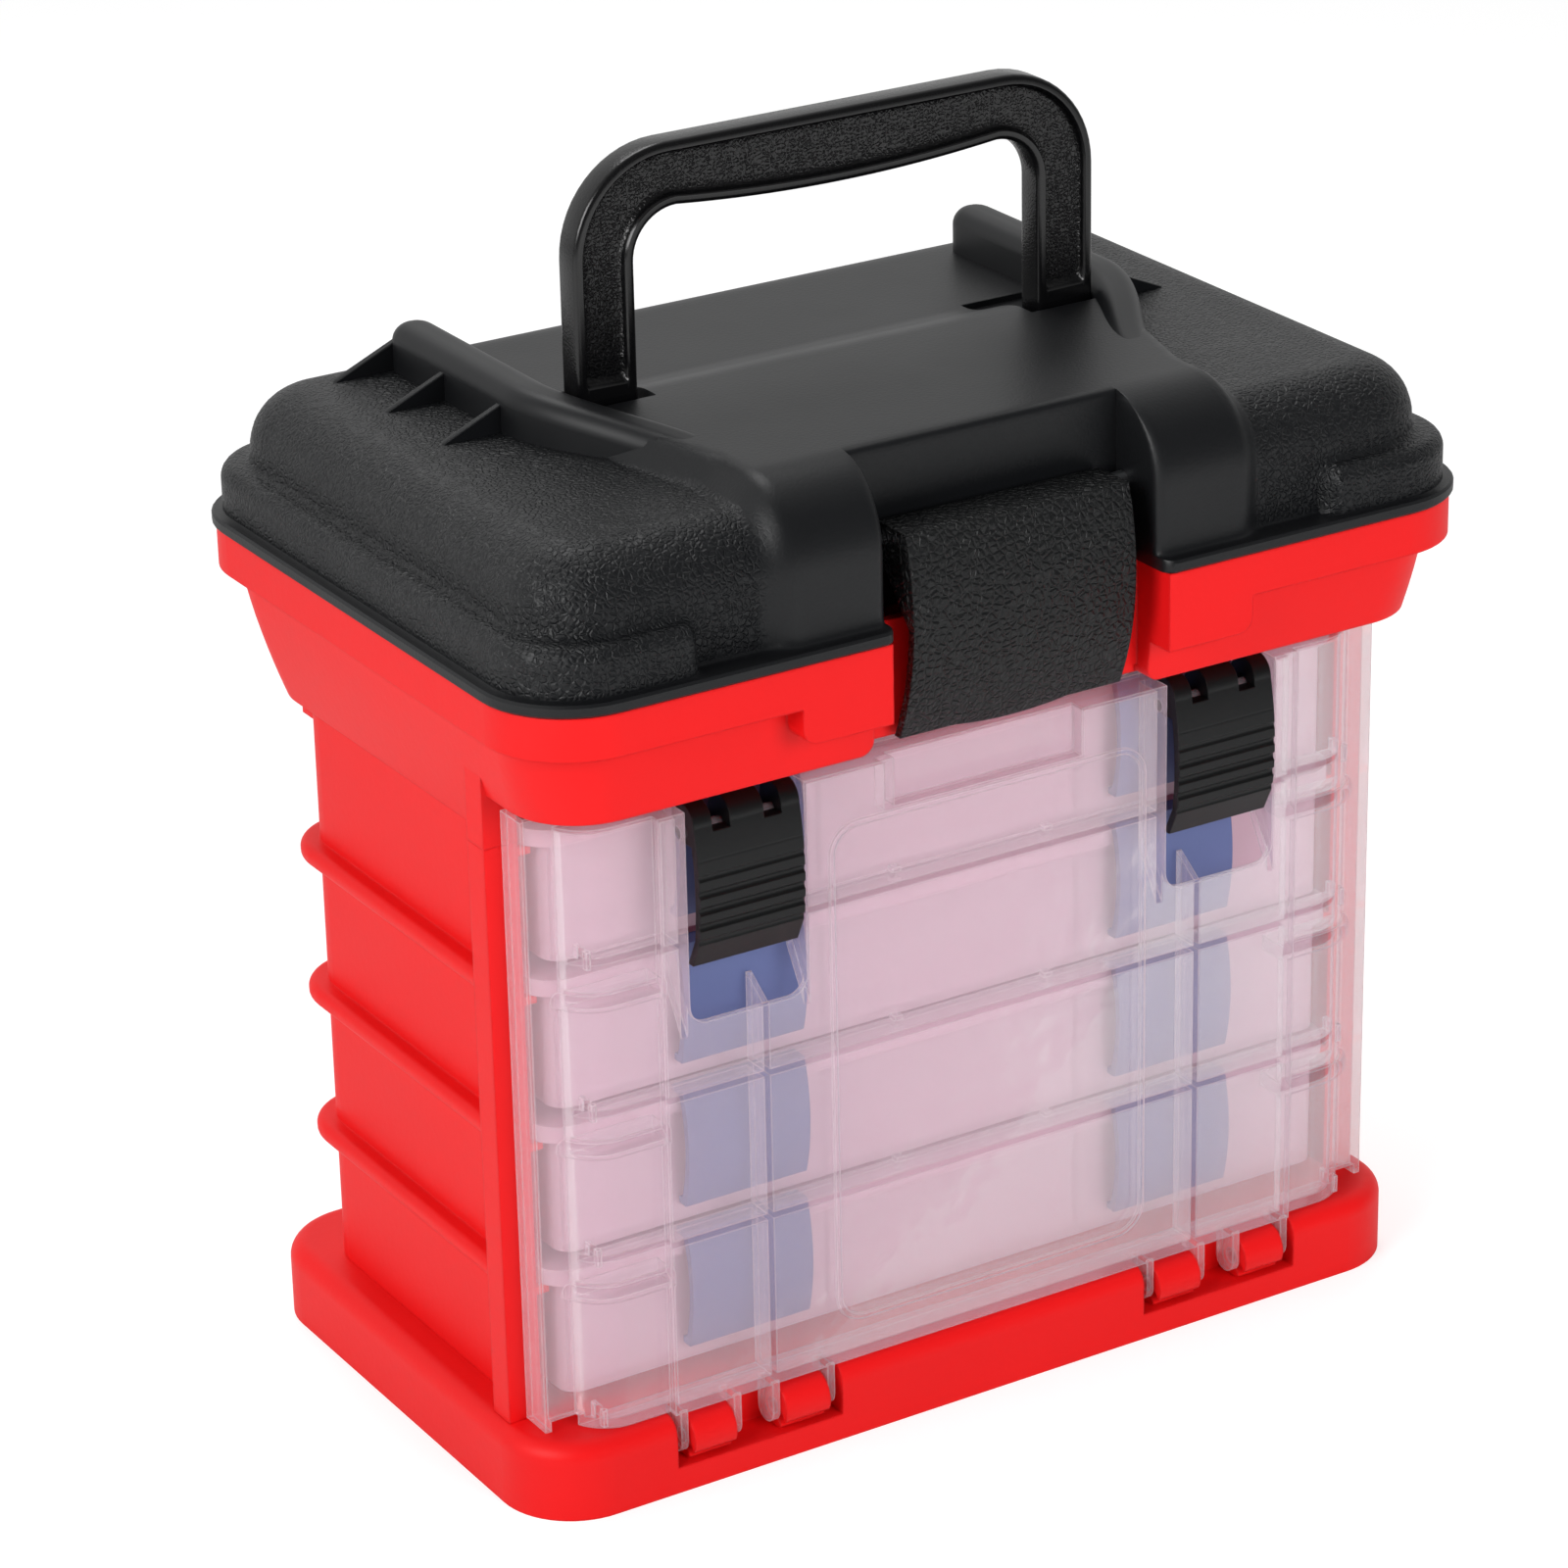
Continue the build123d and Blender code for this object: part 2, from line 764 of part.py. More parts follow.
def main_latch():
    """Wide bowed latch plate with a rolled top, side cheeks and a hook behind."""
    foot = latch_top - latch_drop
    bulge_z = (latch_top + foot) / 2
    skin = latch_skin
    plate = make_face(
        [
            ThreePointArc((latch_top_y, latch_top), (latch_bulge_y, bulge_z), (latch_foot_y, foot)),
            Line((latch_foot_y, foot), (latch_foot_y + skin, foot)),
            ThreePointArc(
                (latch_foot_y + skin, foot), (latch_bulge_y + skin, bulge_z), (latch_top_y + skin, latch_top)
            ),
            Line((latch_top_y + skin, latch_top), (latch_top_y, latch_top)),
        ]
    )
    latch = across(plate, -latch_half, latch_half)
    latch += block(-latch_half, latch_half, latch_top_y, latch_pivot_y, latch_top - skin, latch_top)
    latch += rod(latch_pivot_y, latch_pivot_z, latch_barrel, -latch_half, latch_half)
    cheek = make_face(
        Polyline(
            (latch_top_y + past, latch_top - past), (latch_pivot_y, latch_top - past),
            (latch_pivot_y, latch_pivot_z - latch_barrel), (latch_bulge_y + skin / 2, bulge_z + skin),
            close=True,
        )
    )
    for side in (-1, 1):
        x0, x1 = sided(side, latch_half - latch_cheek, latch_half)
        latch += across(cheek, x0, x1)
    keeper_foot = rim_top - keeper_drop - keeper_height
    hook_top = keeper_foot - 2 * seam
    hook_back = niche_back - keeper_depth - seam
    hook_front = latch_bulge_y + 1.4 * skin
    hook_foot = hook_top - latch_hook_depth
    latch += block(-keeper_half, keeper_half, hook_front, hook_back, hook_foot, hook_top)
    latch -= rod(
        latch_pivot_y, latch_pivot_z, latch_pin_radius + joint_play, -latch_half - past, latch_half + past
    )
    tongue_radius = (tongue_half ** 2 + tongue_drop ** 2) / (2 * tongue_drop)
    plane = Plane(origin=(0, 2 * latch_foot_y, foot + tongue_radius), x_dir=(-1, 0, 0), z_dir=(0, 1, 0))
    tongue = extrude(plane * Circle(tongue_radius), -2 * latch_foot_y)
    strip = block(-latch_half - past, latch_half + past, 2 * latch_foot_y, 0, foot - past, foot + tongue_drop)
    return latch - (strip - tongue)


# Door


def door_hull(inset):
    """The door as a solid; with an inset it is the hollow, which runs out through the back."""
    rim_front = door_back - door_rim_depth
    foot = door_foot + inset
    head = door_head - inset
    rim_head = door_head + door_rim_rise + (past if inset else 0)
    back = door_back + (past if inset else 0)
    hull = block(
        -door_rim_half + inset, door_rim_half - inset, rim_front + inset, back, foot, rim_head
    )
    half = door_half - inset
    corner_front = door_front + door_step + inset
    corners = rounded_block(
        -half, half, corner_front, rim_front + 3 * door_corner, foot, head, door_corner - inset
    )
    corners -= block(-half - past, half + past, back, rim_front + 4 * door_corner, foot - past, head + past)
    half = door_step_half - inset
    return hull + corners + block(-half, half, door_front + inset, back, foot, head)


def inner_floor(z, thickness):
    """A flat wall inside the door, from its front to the shelves' rear edge."""
    return door_hull(door_skin / 2) & block(
        -door_half, door_half, door_front, door_front + shelf_reach, z, z + thickness
    )


def door_shelves():
    """Flat ribs across the inside of the door with small nubs, and fins in the corners."""
    rear = door_front + shelf_reach
    pieces = []
    for drop in shelf_drops:
        z = door_head - drop
        pieces.append(inner_floor(z, shelf_thickness))
        for x in (-shelf_nub_x, shelf_nub_x):
            pieces.append(
                block(
                    x - shelf_nub_half, x + shelf_nub_half, rear - 2 * shelf_nub_half, rear,
                    z - shelf_nub_half, z + shelf_thickness + shelf_nub_half,
                )
            )
    low = door_front + door_step + door_skin / 2
    for drop in shelf_drops + (door_head - door_foot - door_skin / 2,):
        z = door_head - drop
        for side in (-1, 1):
            x0, x1 = sided(side, fin_centre, fin_centre + fin_thickness)
            pieces.append(block(x0, x1, low, rear, z, z + shelf_thickness + fin_height))
    return pieces


def latch_bay(side):
    """The opening at the door's head that one latch sits in."""
    x0, x1 = sided(side, bay_inner, bay_outer)
    sill = door_head - bay_sill_drop
    outline = RectangleRounded(x1 - x0, 2 * bay_sill_drop, bay_corner)
    plane = Plane(
        origin=((x0 + x1) / 2, door_front - past, sill + bay_sill_drop), x_dir=(-1, 0, 0), z_dir=(0, 1, 0)
    )
    return extrude(plane * outline, door_depth + 2 * past)


def bay_cheeks(side):
    """The two walls beside a latch bay, slanted at their foot."""
    front = door_front + door_skin / 2
    rear = door_front + shelf_reach
    sill = door_head - bay_sill_drop
    outline = Polyline(
        (front, door_head), (rear, door_head), (rear, sill + shelf_reach), (front, sill - bay_corner),
        close=True,
    )
    cheeks = []
    for near in (bay_inner - door_skin, bay_outer):
        cheeks.append(across(make_face(outline), *sided(side, near, near + door_skin)))
    return cheeks


def head_recess(margin):
    """The shallow recess at the middle of the door's head, grown by a margin."""
    half = head_recess_half + margin
    front = door_front - (0 if margin else past)
    rear = door_front + head_recess_depth + margin
    head = door_head + (0 if margin else past)
    return block(-half, half, front, rear, door_head - head_recess_drop - margin, head)


def corner_bulge(side, z):
    """A rounded bead round the door's corner, in line with a rib of the cabinet."""
    half = door_half + bulge_reach
    front = door_front + door_step - bulge_reach
    rim_front = door_back - door_rim_depth
    low, high = z - bulge_height / 2, z + bulge_height / 2
    bead = rounded_block(-half, half, front, front + 4 * door_corner, low, high, door_corner + bulge_reach)
    bead = fillet(bead.edges().filter_by(Axis.Z, reverse=True), bulge_round)
    bead -= block(
        -half - past, half + past, rim_front + seam, front + 5 * door_corner, low - past, high + past
    )
    x0, x1 = sided(side, bulge_start, half + past)
    return bead & block(x0, x1, front - past, rim_front + past, low - past, high + past)


def door_panel_bead():
    """The raised outline on the middle of the door."""
    head = door_head - panel_head_drop
    height = head - panel_foot
    outline = RectangleRounded(2 * panel_half, height, panel_corner)
    opening = RectangleRounded(
        2 * (panel_half - panel_bead), height - 2 * panel_bead, panel_corner - panel_bead
    )
    plane = Plane(
        origin=(0, door_front - panel_proud, panel_foot + height / 2), x_dir=(-1, 0, 0), z_dir=(0, 1, 0)
    )
    return extrude(plane * (outline - opening), panel_proud + door_skin / 2)


def door_hinge(side):
    """Two pairs of tabs under the door, each pair with a bar that clips into a hook."""
    group = []
    tab_half = hinge_tab_thickness / 2
    for x in hinge_tabs:
        x0, x1 = sided(side, x - tab_half, x + tab_half)
        round_end = rod(hinge_y, hinge_z, hinge_tab_radius, x0, x1)
        stem = block(
            x0, x1, hinge_y - hinge_tab_radius, hinge_y + hinge_tab_radius, hinge_z, door_foot + door_skin / 2
        )
        group.append(round_end + stem)
    for first in (0, 2):
        x0, x1 = sided(side, hinge_tabs[first], hinge_tabs[first + 1])
        group.append(rod(hinge_y, hinge_z, hinge_bar_radius, x0, x1))
    return group


def door_rib(side):
    """The upright rib below a latch bay, whose head rises to a point behind the bay's sill."""
    front = door_front + door_skin / 2
    rear = door_front + shelf_reach
    foot = door_foot + door_skin / 2
    sill = door_head - bay_sill_drop
    outline = Polyline((front, foot), (rear, foot), (rear, sill + rib_apex), (front, sill - past), close=True)
    return across(make_face(outline), *sided(side, rib_centre - door_rib_half, rib_centre + door_rib_half))


def door():
    """Translucent front door with shelves, latch bays, beads and the bottom hinge."""
    shell = door_hull(0) - door_hull(door_skin)
    shell -= block(
        door_skin - door_rim_half, door_rim_half - door_skin, door_front + shelf_reach, door_back + past,
        door_foot - past, door_foot + door_skin + past,
    )
    for piece in door_shelves():
        shell += piece
    for side in (-1, 1):
        for index in range(1, organizer_count):
            shell += corner_bulge(side, organizer_top(index) - rail_height / 2)
        shell -= latch_bay(side)
        shell += door_rib(side)
        for cheek in bay_cheeks(side):
            shell += cheek
    shell += head_recess(door_skin)
    shell -= head_recess(0)
    shell += door_panel_bead()
    for side in (-1, 1):
        x0, x1 = sided(side, bay_inner - door_skin / 2, bay_outer + door_skin / 2)
        shell += rod(clip_pivot_y, clip_pivot_z, clip_bar_radius, x0, x1)
        for piece in door_hinge(side):
            shell += piece
    return shell


# Door latches


def door_latch(side):
    """Black snap latch: grooved plate with a bent foot and three rolled fingers round the bar."""
    x = side * clip_centre
    half = clip_width / 2
    skin = clip_skin
    roll_z = clip_head - clip_roll
    bend_z = clip_foot + clip_bend_rise
    bulge_z = (roll_z + bend_z) / 2
    plate = make_face(
        [
            ThreePointArc((clip_head_y, roll_z), (clip_bulge_y, bulge_z), (clip_bend_y, bend_z)),
            Line((clip_bend_y, bend_z), (clip_foot_y, clip_foot)),
            Line((clip_foot_y, clip_foot), (clip_foot_y + skin, clip_foot)),
            Line((clip_foot_y + skin, clip_foot), (clip_bend_y + skin, bend_z)),
            ThreePointArc(
                (clip_bend_y + skin, bend_z), (clip_bulge_y + skin, bulge_z), (clip_head_y + skin, roll_z)
            ),
            Line((clip_head_y + skin, roll_z), (clip_head_y, roll_z)),
        ]
    )
    roll_y = clip_head_y + clip_roll
    finger = Pos(roll_y, roll_z) * Circle(clip_roll)
    neck = roll_z - clip_roll
    finger += Pos((clip_head_y + skin / 2 + roll_y) / 2, (neck + roll_z) / 2) * Rectangle(
        roll_y - clip_head_y - skin / 2, roll_z - neck
    )
    latch = across(plate, x - half, x + half)
    latch += across(finger, x - half, x + half)
    for x0, x1 in clip_windows(x):
        latch -= block(
            x0, x1, clip_bulge_y - past, roll_y + clip_roll + past,
            clip_head - clip_window_drop, clip_head + past,
        )
    latch -= rod(clip_pivot_y, clip_pivot_z, clip_bar_radius + joint_play, x - half - past, x + half + past)
    for index in range(groove_count):
        z = bend_z + index * groove_pitch
        share = (z - bulge_z) / (bulge_z - bend_z)
        y = clip_bulge_y + (clip_bend_y - clip_bulge_y) * share * share
        latch -= rod(y - groove_rise, z, groove_radius, x - half - past, x + half + past)
    return latch


def clip_windows(x):
    """X spans of the two open slots beside the middle finger."""
    half = clip_width / 2
    return [
        (x - half + clip_cheek, x - clip_centre_half),
        (x + clip_centre_half, x + half - clip_cheek),
    ]


# Organizers


def organizer_front():
    """Y of an organizer's front edge, so that its back edge stands off the cabinet's back."""
    return cabinet_inner_back - 2 * seam - organizer_depth


def tray_outline():
    """Low and high X and Y of a tray's walls."""
    half = organizer_width / 2 - tray_inset
    front = organizer_front() + snap_skin
    return -half, half, front, organizer_front() + organizer_depth - snap_skin


def bay_spans():
    """X spans of a tray's bays, between its walls and the fixed cross walls."""
    x0, x1, _, _ = tray_outline()
    inner = x1 - x0 - (bay_count + 1) * organizer_skin
    width = inner / bay_count
    spans = []
    for index in range(bay_count):
        low = x0 + organizer_skin + index * (width + organizer_skin)
        spans.append((low, low + width))
    return spans


def organizer_tray(index):
    """Clear tray with three bays and slots for the removable dividers."""
    top = organizer_top(index) - organizer_skin - tray_head_gap
    foot = organizer_top(index) - organizer_height
    x0, x1, y0, y1 = tray_outline()
    tray = rounded_block(x0, x1, y0, y1, foot, top, tray_corner)
    middle = (y0 + y1) / 2
    slot_half = divider_thickness / 2 + divider_play / 2
    for low, high in bay_spans():
        tray -= block(low, high, y0 + organizer_skin, y1 - organizer_skin, foot + organizer_skin, top + past)
        for side in (-1, 1):
            near, far = sorted((middle + side * slot_half, middle + side * (slot_half + slot_rib)))
            for edge, grow in ((low, 1), (high, -1)):
                a, b = sorted((edge - grow * organizer_skin / 2, edge + grow * slot_rib))
                tray += block(a, b, near, far, foot + organizer_skin / 2, top - divider_drop)
    collar = rounded_block(
        x0 - tray_collar, x1 + tray_collar, y0, y1, top - organizer_skin, top, lid_corner - organizer_skin
    )
    lap = organizer_skin / 2
    return tray + (collar - block(x0 + lap, x1 - lap, y0 + lap, y1 - lap, foot, top + past))


def organizer_lid(index):
    """Clear lid with a skirt, whose side edges run on the cabinet's ledges."""
    top = organizer_top(index)
    half = organizer_width / 2
    y0 = organizer_front()
    y1 = y0 + organizer_depth
    plate = rounded_block(-half, half, y0, y1, top - lid_skirt, top, lid_corner)
    skin = organizer_skin
    inner = rounded_block(
        -half + skin, half - skin, y0 + skin, y1 - skin, top - lid_skirt - past, top - skin, lid_corner - skin
    )
    return plate - inner


def organizer_dividers(index):
    """Three removable plates, one standing in the slots of each bay."""
    foot = organizer_top(index) - organizer_height + organizer_skin
    top = organizer_top(index) - organizer_skin - tray_head_gap - divider_drop
    _, _, y0, y1 = tray_outline()
    middle = (y0 + y1) / 2
    half = divider_thickness / 2
    plates = []
    for low, high in bay_spans():
        plates.append(
            block(
                low + divider_play, high - divider_play, middle - half, middle + half,
                foot + divider_lift, top,
            )
        )
    return Compound(children=plates)


def organizer_snap(side, index):
    """Blue snap latch that bows over the organizer's front and hooks over its lid."""
    top = organizer_top(index) + snap_lift
    foot = top - snap_height
    back = organizer_front() - seam
    skin = snap_skin
    front = back - skin
    belly = front - snap_bulge
    middle = (top + foot) / 2
    profile = make_face(
        [
            Line((back + snap_hook, top), (back + snap_hook, top + skin)),
            Line((back + snap_hook, top + skin), (front, top + skin)),
            ThreePointArc((front, top + skin), (belly, middle), (front, foot)),
            Line((front, foot), (back + snap_hook - skin, foot)),
            Line((back + snap_hook - skin, foot), (back + snap_hook - skin, foot + skin)),
            Line((back + snap_hook - skin, foot + skin), (back, foot + skin)),
            ThreePointArc((back, foot + skin), (belly + skin, middle), (back, top)),
            Line((back, top), (back + snap_hook, top)),
        ]
    )
    half = snap_width / 2
    return across(profile, side * snap_centre - half, side * snap_centre + half)


def write(name, shape):
    """Write one sub-part under its node's name."""
    shape.label = name
    export_step(shape, f"parts/{name}.step")


os.makedirs("parts", exist_ok=True)
write("base_plate", base_plate())
write("cabinet_walls", cabinet_walls())
write("top_tub", top_tub())
write("lid_hinge_pins", lid_hinge_pins())
write("lid", lid())
write("main_latch_pin", main_latch_pin())
write("handle", handle())
write("main_latch", main_latch())
write("door", door())
for side, word in ((-1, "left"), (1, "right")):
    write(f"door_latch_{word}", door_latch(side))
for index in range(1, organizer_count + 1):
    write(f"organizer_{index}_tray", organizer_tray(index))
    write(f"organizer_{index}_lid", organizer_lid(index))
    write(f"organizer_{index}_dividers", organizer_dividers(index))
    for side, word in ((-1, "left"), (1, "right")):
        write(f"organizer_{index}_latch_{word}", organizer_snap(side, index))
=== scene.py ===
# %% [markdown]
# # A tackle box with a hinged lid, a clear door and four organizers
#
# The model of the box comes packed from CAD, with its hinges and slides. This lesson dresses it:
# it gives each moulding its plastic, and it builds again, as smooth surfaces, the two pieces
# whose soft edges and reflections matter most: the lid and the handle. Their lengths are written
# in millimetres, in the frame of the CAD model: X to the right, Y to the back, Z up, with the
# front at -Y.

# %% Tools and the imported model
import math

import bmesh
import bpy
import numpy as np
from mathutils import Matrix


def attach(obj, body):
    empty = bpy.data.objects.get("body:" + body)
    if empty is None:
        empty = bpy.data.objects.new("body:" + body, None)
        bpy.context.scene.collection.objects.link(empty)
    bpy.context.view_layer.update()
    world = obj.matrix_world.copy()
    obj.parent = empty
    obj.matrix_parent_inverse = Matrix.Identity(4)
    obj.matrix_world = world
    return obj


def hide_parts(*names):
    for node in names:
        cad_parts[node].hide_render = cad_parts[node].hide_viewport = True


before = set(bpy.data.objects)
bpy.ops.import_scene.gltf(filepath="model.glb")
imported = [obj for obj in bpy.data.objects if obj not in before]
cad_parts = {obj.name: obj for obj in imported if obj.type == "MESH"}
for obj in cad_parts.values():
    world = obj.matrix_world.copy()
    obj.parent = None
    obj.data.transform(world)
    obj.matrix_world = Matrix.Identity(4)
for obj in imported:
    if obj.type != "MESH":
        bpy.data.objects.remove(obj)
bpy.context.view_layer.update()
MM = 0.001


# %% [markdown]
# ## Small helpers for meshes
#
# Every new surface is a grid of points worked out as one numpy array. Neighbouring points of the
# grid make the faces. Several grids can make one piece: their shared rims have the same points,
# so merging doubles closes the seams, and then all faces can be turned outwards together.

# %% Grids to meshes
def quads(rows, columns, wrap=False):
    """Faces of a grid: each joins a point with its neighbours to the right and above.
    wrap also joins the last column to the first."""
    number = np.arange(rows * columns).reshape(rows, columns)
    if wrap:
        number = np.concatenate([number, number[:, :1]], axis=1)
    corners = [number[:-1, :-1], number[:-1, 1:], number[1:, 1:], number[1:, :-1]]
    return np.stack(corners, axis=-1).reshape(-1, 4)


CREASE = 0.7
MERGE, SLIVER = 0.004, 0.001


def piece(name, grids, body, material, hides=()):
    """One object from several (points, wrap) grids, points in millimetres and shaped
    (rows, columns, 3). Points closer than MERGE become one and faces thinner than SLIVER go;
    edges that turn by more than CREASE radians stay sharp, and the rest is shaded smooth."""
    points = np.concatenate([grid.reshape(-1, 3) for grid, _ in grids])
    faces, start = [], 0
    for grid, wrap in grids:
        faces.append(quads(grid.shape[0], grid.shape[1], wrap) + start)
        start += grid.shape[0] * grid.shape[1]
    mesh = bpy.data.meshes.new(name)
    mesh.from_pydata(points * MM, [], np.concatenate(faces))
    work = bmesh.new()
    work.from_mesh(mesh)
    bmesh.ops.remove_doubles(work, verts=work.verts, dist=MERGE * MM)
    bmesh.ops.dissolve_degenerate(work, edges=work.edges, dist=SLIVER * MM)
    bmesh.ops.recalc_face_normals(work, faces=work.faces)
    for face in work.faces:
        face.smooth = True
    for line in work.edges:
        line.smooth = line.calc_face_angle(0) < CREASE
    work.to_mesh(mesh)
    work.free()
    mesh.materials.append(material)
    made = bpy.data.objects.new(name, mesh)
    bpy.context.scene.collection.objects.link(made)
    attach(made, body)
    if hides:
        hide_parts(*hides)
    print(name, len(mesh.polygons), "faces")
    return made


def capped(grid):
    """A grid of closed lines, with its first and last line drawn together to their middles."""
    first = np.broadcast_to(grid[:1].mean(axis=1, keepdims=True), grid[:1].shape)
    last = np.broadcast_to(grid[-1:].mean(axis=1, keepdims=True), grid[-1:].shape)
    return np.concatenate([first, grid, last])


def hoop(x, y, z, radius, count):
    """A circle of points round an axis along X."""
    angle = np.linspace(0, 2 * np.pi, count + 1)[:-1]
    return np.stack([np.full(count, x), y + radius * np.cos(angle), z + radius * np.sin(angle)], axis=1)


def ease(low, high, value):
    """0 below low, 1 above high, and a smooth S between them: 3t^2 - 2t^3."""
    t = np.clip((value - low) / (high - low), 0, 1)
    return t * t * (3 - 2 * t)


def set_grain(made, depth):
    """Stores the attribute "grain" of a mesh, which depth works out from x, y, z in millimetres."""
    spots = np.empty(len(made.data.vertices) * 3, np.float32)
    made.data.vertices.foreach_get("co", spots)
    value = depth(*(spots.reshape(-1, 3) / MM).T)
    grain = made.data.attributes.new("grain", "FLOAT", "POINT")
    grain.data.foreach_set("value", value.astype(np.float32))


# %% [markdown]
# ## Small helpers for materials
#
# Colours are written as sRGB codes, as read off a screen, and Blender's sockets want linear
# light, so one function converts them. Another adds a shader node with its settings and links,
# and the rest each add one kind of node and hand on the socket that comes out of it.

# %% Colours and nodes
def linear(code):
    """Linear colour of an sRGB code: below 0.04045 a straight line, above it a 2.4 power."""
    share = np.array([int(code[at:at + 2], 16) for at in (1, 3, 5)]) / 255
    light = np.where(share <= 0.04045, share / 12.92, ((share + 0.055) / 1.055) ** 2.4)
    return (*light.tolist(), 1.0)


def add(tree, kind, settings=None, inputs=None):
    """Adds a node, sets its properties and fills its inputs with values or other sockets."""
    node = tree.nodes.new(kind)
    for name, value in (settings or {}).items():
        setattr(node, name, value)
    for name, value in (inputs or {}).items():
        if isinstance(value, bpy.types.NodeSocket):
            tree.links.new(value, node.inputs[name])
        else:
            node.inputs[name].default_value = value
    return node


def new_material(name):
    """An empty node material and its tree."""
    material = bpy.data.materials.new(name)
    material.use_nodes = True
    material.node_tree.nodes.clear()
    return material, material.node_tree


def finish_material(tree, shader):
    """Joins a shader to the material's output."""
    add(tree, "ShaderNodeOutputMaterial", None, {"Surface": shader})


def noise(tree, where, scale, detail=2.0, output="Fac"):
    """Soft noise from 0 to 1, with so many waves to the metre; as "Color" it is three noises."""
    inputs = {"Vector": where, "Scale": scale, "Detail": detail}
    return add(tree, "ShaderNodeTexNoise", None, inputs).outputs[output]


def remap(tree, value, old, new, smooth=False):
    """A value whose span old is stretched to the span new, and held at its ends."""
    settings = {"interpolation_type": "SMOOTHSTEP"} if smooth else {}
    inputs = {"Value": value, 1: old[0], 2: old[1], 3: new[0], 4: new[1]}
    return add(tree, "ShaderNodeMapRange", settings, inputs).outputs[0]


def rounded(tree, edge):
    """The normal as it would be if sharp edges had this radius in millimetres."""
    return add(tree, "ShaderNodeBevel", {"samples": 4}, {"Radius": edge * MM}).outputs[0]


def bumped(tree, height, depth, normal=None):
    """The normal of a surface whose bumps are this many millimetres deep."""
    inputs = {"Height": height, "Distance": depth * MM}
    if normal is not None:
        inputs["Normal"] = normal
    return add(tree, "ShaderNodeBump", None, inputs).outputs[0]


def mix(tree, share, first, second):
    """A shader that goes from the first to the second as share goes from 0 to 1."""
    return add(tree, "ShaderNodeMixShader", None, {0: share, 1: first, 2: second}).outputs[0]


PLASTIC_IOR = 1.49


def opaque(tree, colour, roughness, sheen, normal):
    """The shader of an opaque plastic; sheen is how strong its reflections are."""
    return add(tree, "ShaderNodeBsdfPrincipled", None, {
        "Base Color": colour, "Roughness": roughness, "IOR": PLASTIC_IOR,
        "Specular IOR Level": sheen, "Normal": normal}).outputs[0]


# %% [markdown]
# ## Red case: moulded polypropylene
#
# Polypropylene comes out of the mould with a satin skin: a broad soft highlight, tiny waves where
# the melt cooled, and edges rounded by the tool. The waves are noise in the bump, and a slower
# noise changes colour and gloss a little. A Bevel node rounds the shading at each sharp CAD edge,
# so the edges catch the light.

# %% Satin moulded plastic
def moulded(name, code, roughness, edge, grain_size, grain_depth, sheen=0.5):
    """Satin plastic: a colour with a faint cloudy change, rounded edges and fine grain."""
    material, tree = new_material(name)
    where = add(tree, "ShaderNodeTexCoord").outputs["Object"]
    cloud = noise(tree, where, 14.0, 3.0)
    shade = remap(tree, cloud, (0.0, 1.0), (0.94, 1.05))
    base = add(tree, "ShaderNodeHueSaturation", None, {"Color": linear(code), "Value": shade})
    grain = noise(tree, where, 1 / (grain_size * MM))
    normal = bumped(tree, grain, grain_depth, rounded(tree, edge))
    dull = remap(tree, cloud, (0.0, 1.0), (roughness - 0.04, roughness + 0.05))
    finish_material(tree, opaque(tree, base.outputs[0], dull, sheen, normal))
    return material


red_case = moulded(
    "red_polypropylene", "#E01214", 0.46, edge=0.9, grain_size=2.2, grain_depth=0.05, sheen=0.22)
black_clip = moulded(
    "black_polypropylene_clip", "#0B0C0D", 0.4, edge=0.5, grain_size=1.2, grain_depth=0.02, sheen=0.34)
blue_clip = moulded(
    "blue_polypropylene_clip", "#5D6896", 0.5, edge=0.5, grain_size=1.5, grain_depth=0.02)
print("satin plastics:", red_case.name, black_clip.name, blue_clip.name)


# %% [markdown]
# ## Black lid: polypropylene with a leather grain
#
# The mould of the lid is etched with a leather pattern on its outer parts, and left smooth on the
# band between the ridges. Leather is a net of creases round small cells, so the bump is the
# distance to the edges of Voronoi cells, bent by noise. The mesh carries an attribute "grain",
# 1 where the tool is etched and near 0 where it is smooth, which sets how deep the creases are.

# %% Leather grain
def leather(name, code, roughness, cell, depth, edge=0.0, everywhere=False, sheen=0.36):
    """Black plastic with leather creases: cell and depth are in millimetres. The creases follow
    the mesh's attribute "grain", or are as deep everywhere."""
    material, tree = new_material(name)
    where = add(tree, "ShaderNodeTexCoord").outputs["Object"]
    sway = noise(tree, where, 0.35 / (cell * MM), output="Color")
    bent = add(tree, "ShaderNodeVectorMath", {"operation": "MULTIPLY_ADD"}, {
        0: sway, 1: (1.1 * cell * MM,) * 3, 2: where})
    cells = add(tree, "ShaderNodeTexVoronoi", {"feature": "DISTANCE_TO_EDGE"}, {
        "Vector": bent.outputs[0], "Scale": 1 / (cell * MM)})
    crease = remap(tree, cells.outputs["Distance"], (0.0, 0.28), (0.0, 1.0), smooth=True)
    pores = noise(tree, where, 2.2 / (cell * MM))
    relief = add(tree, "ShaderNodeMath", {"operation": "MULTIPLY_ADD"}, {0: pores, 1: 0.5, 2: crease})
    height = relief.outputs[0]
    if not everywhere:
        etched = add(tree, "ShaderNodeAttribute", {"attribute_name": "grain"}).outputs["Fac"]
        masked = add(tree, "ShaderNodeMath", {"operation": "MULTIPLY"}, {0: height, 1: etched})
        height = masked.outputs[0]
    dull = remap(tree, noise(tree, where, 22.0, 4.0), (0.0, 1.0), (roughness - 0.05, roughness + 0.07))
    normal = bumped(tree, height, depth, rounded(tree, edge) if edge else None)
    finish_material(tree, opaque(tree, linear(code), dull, sheen, normal))
    return material


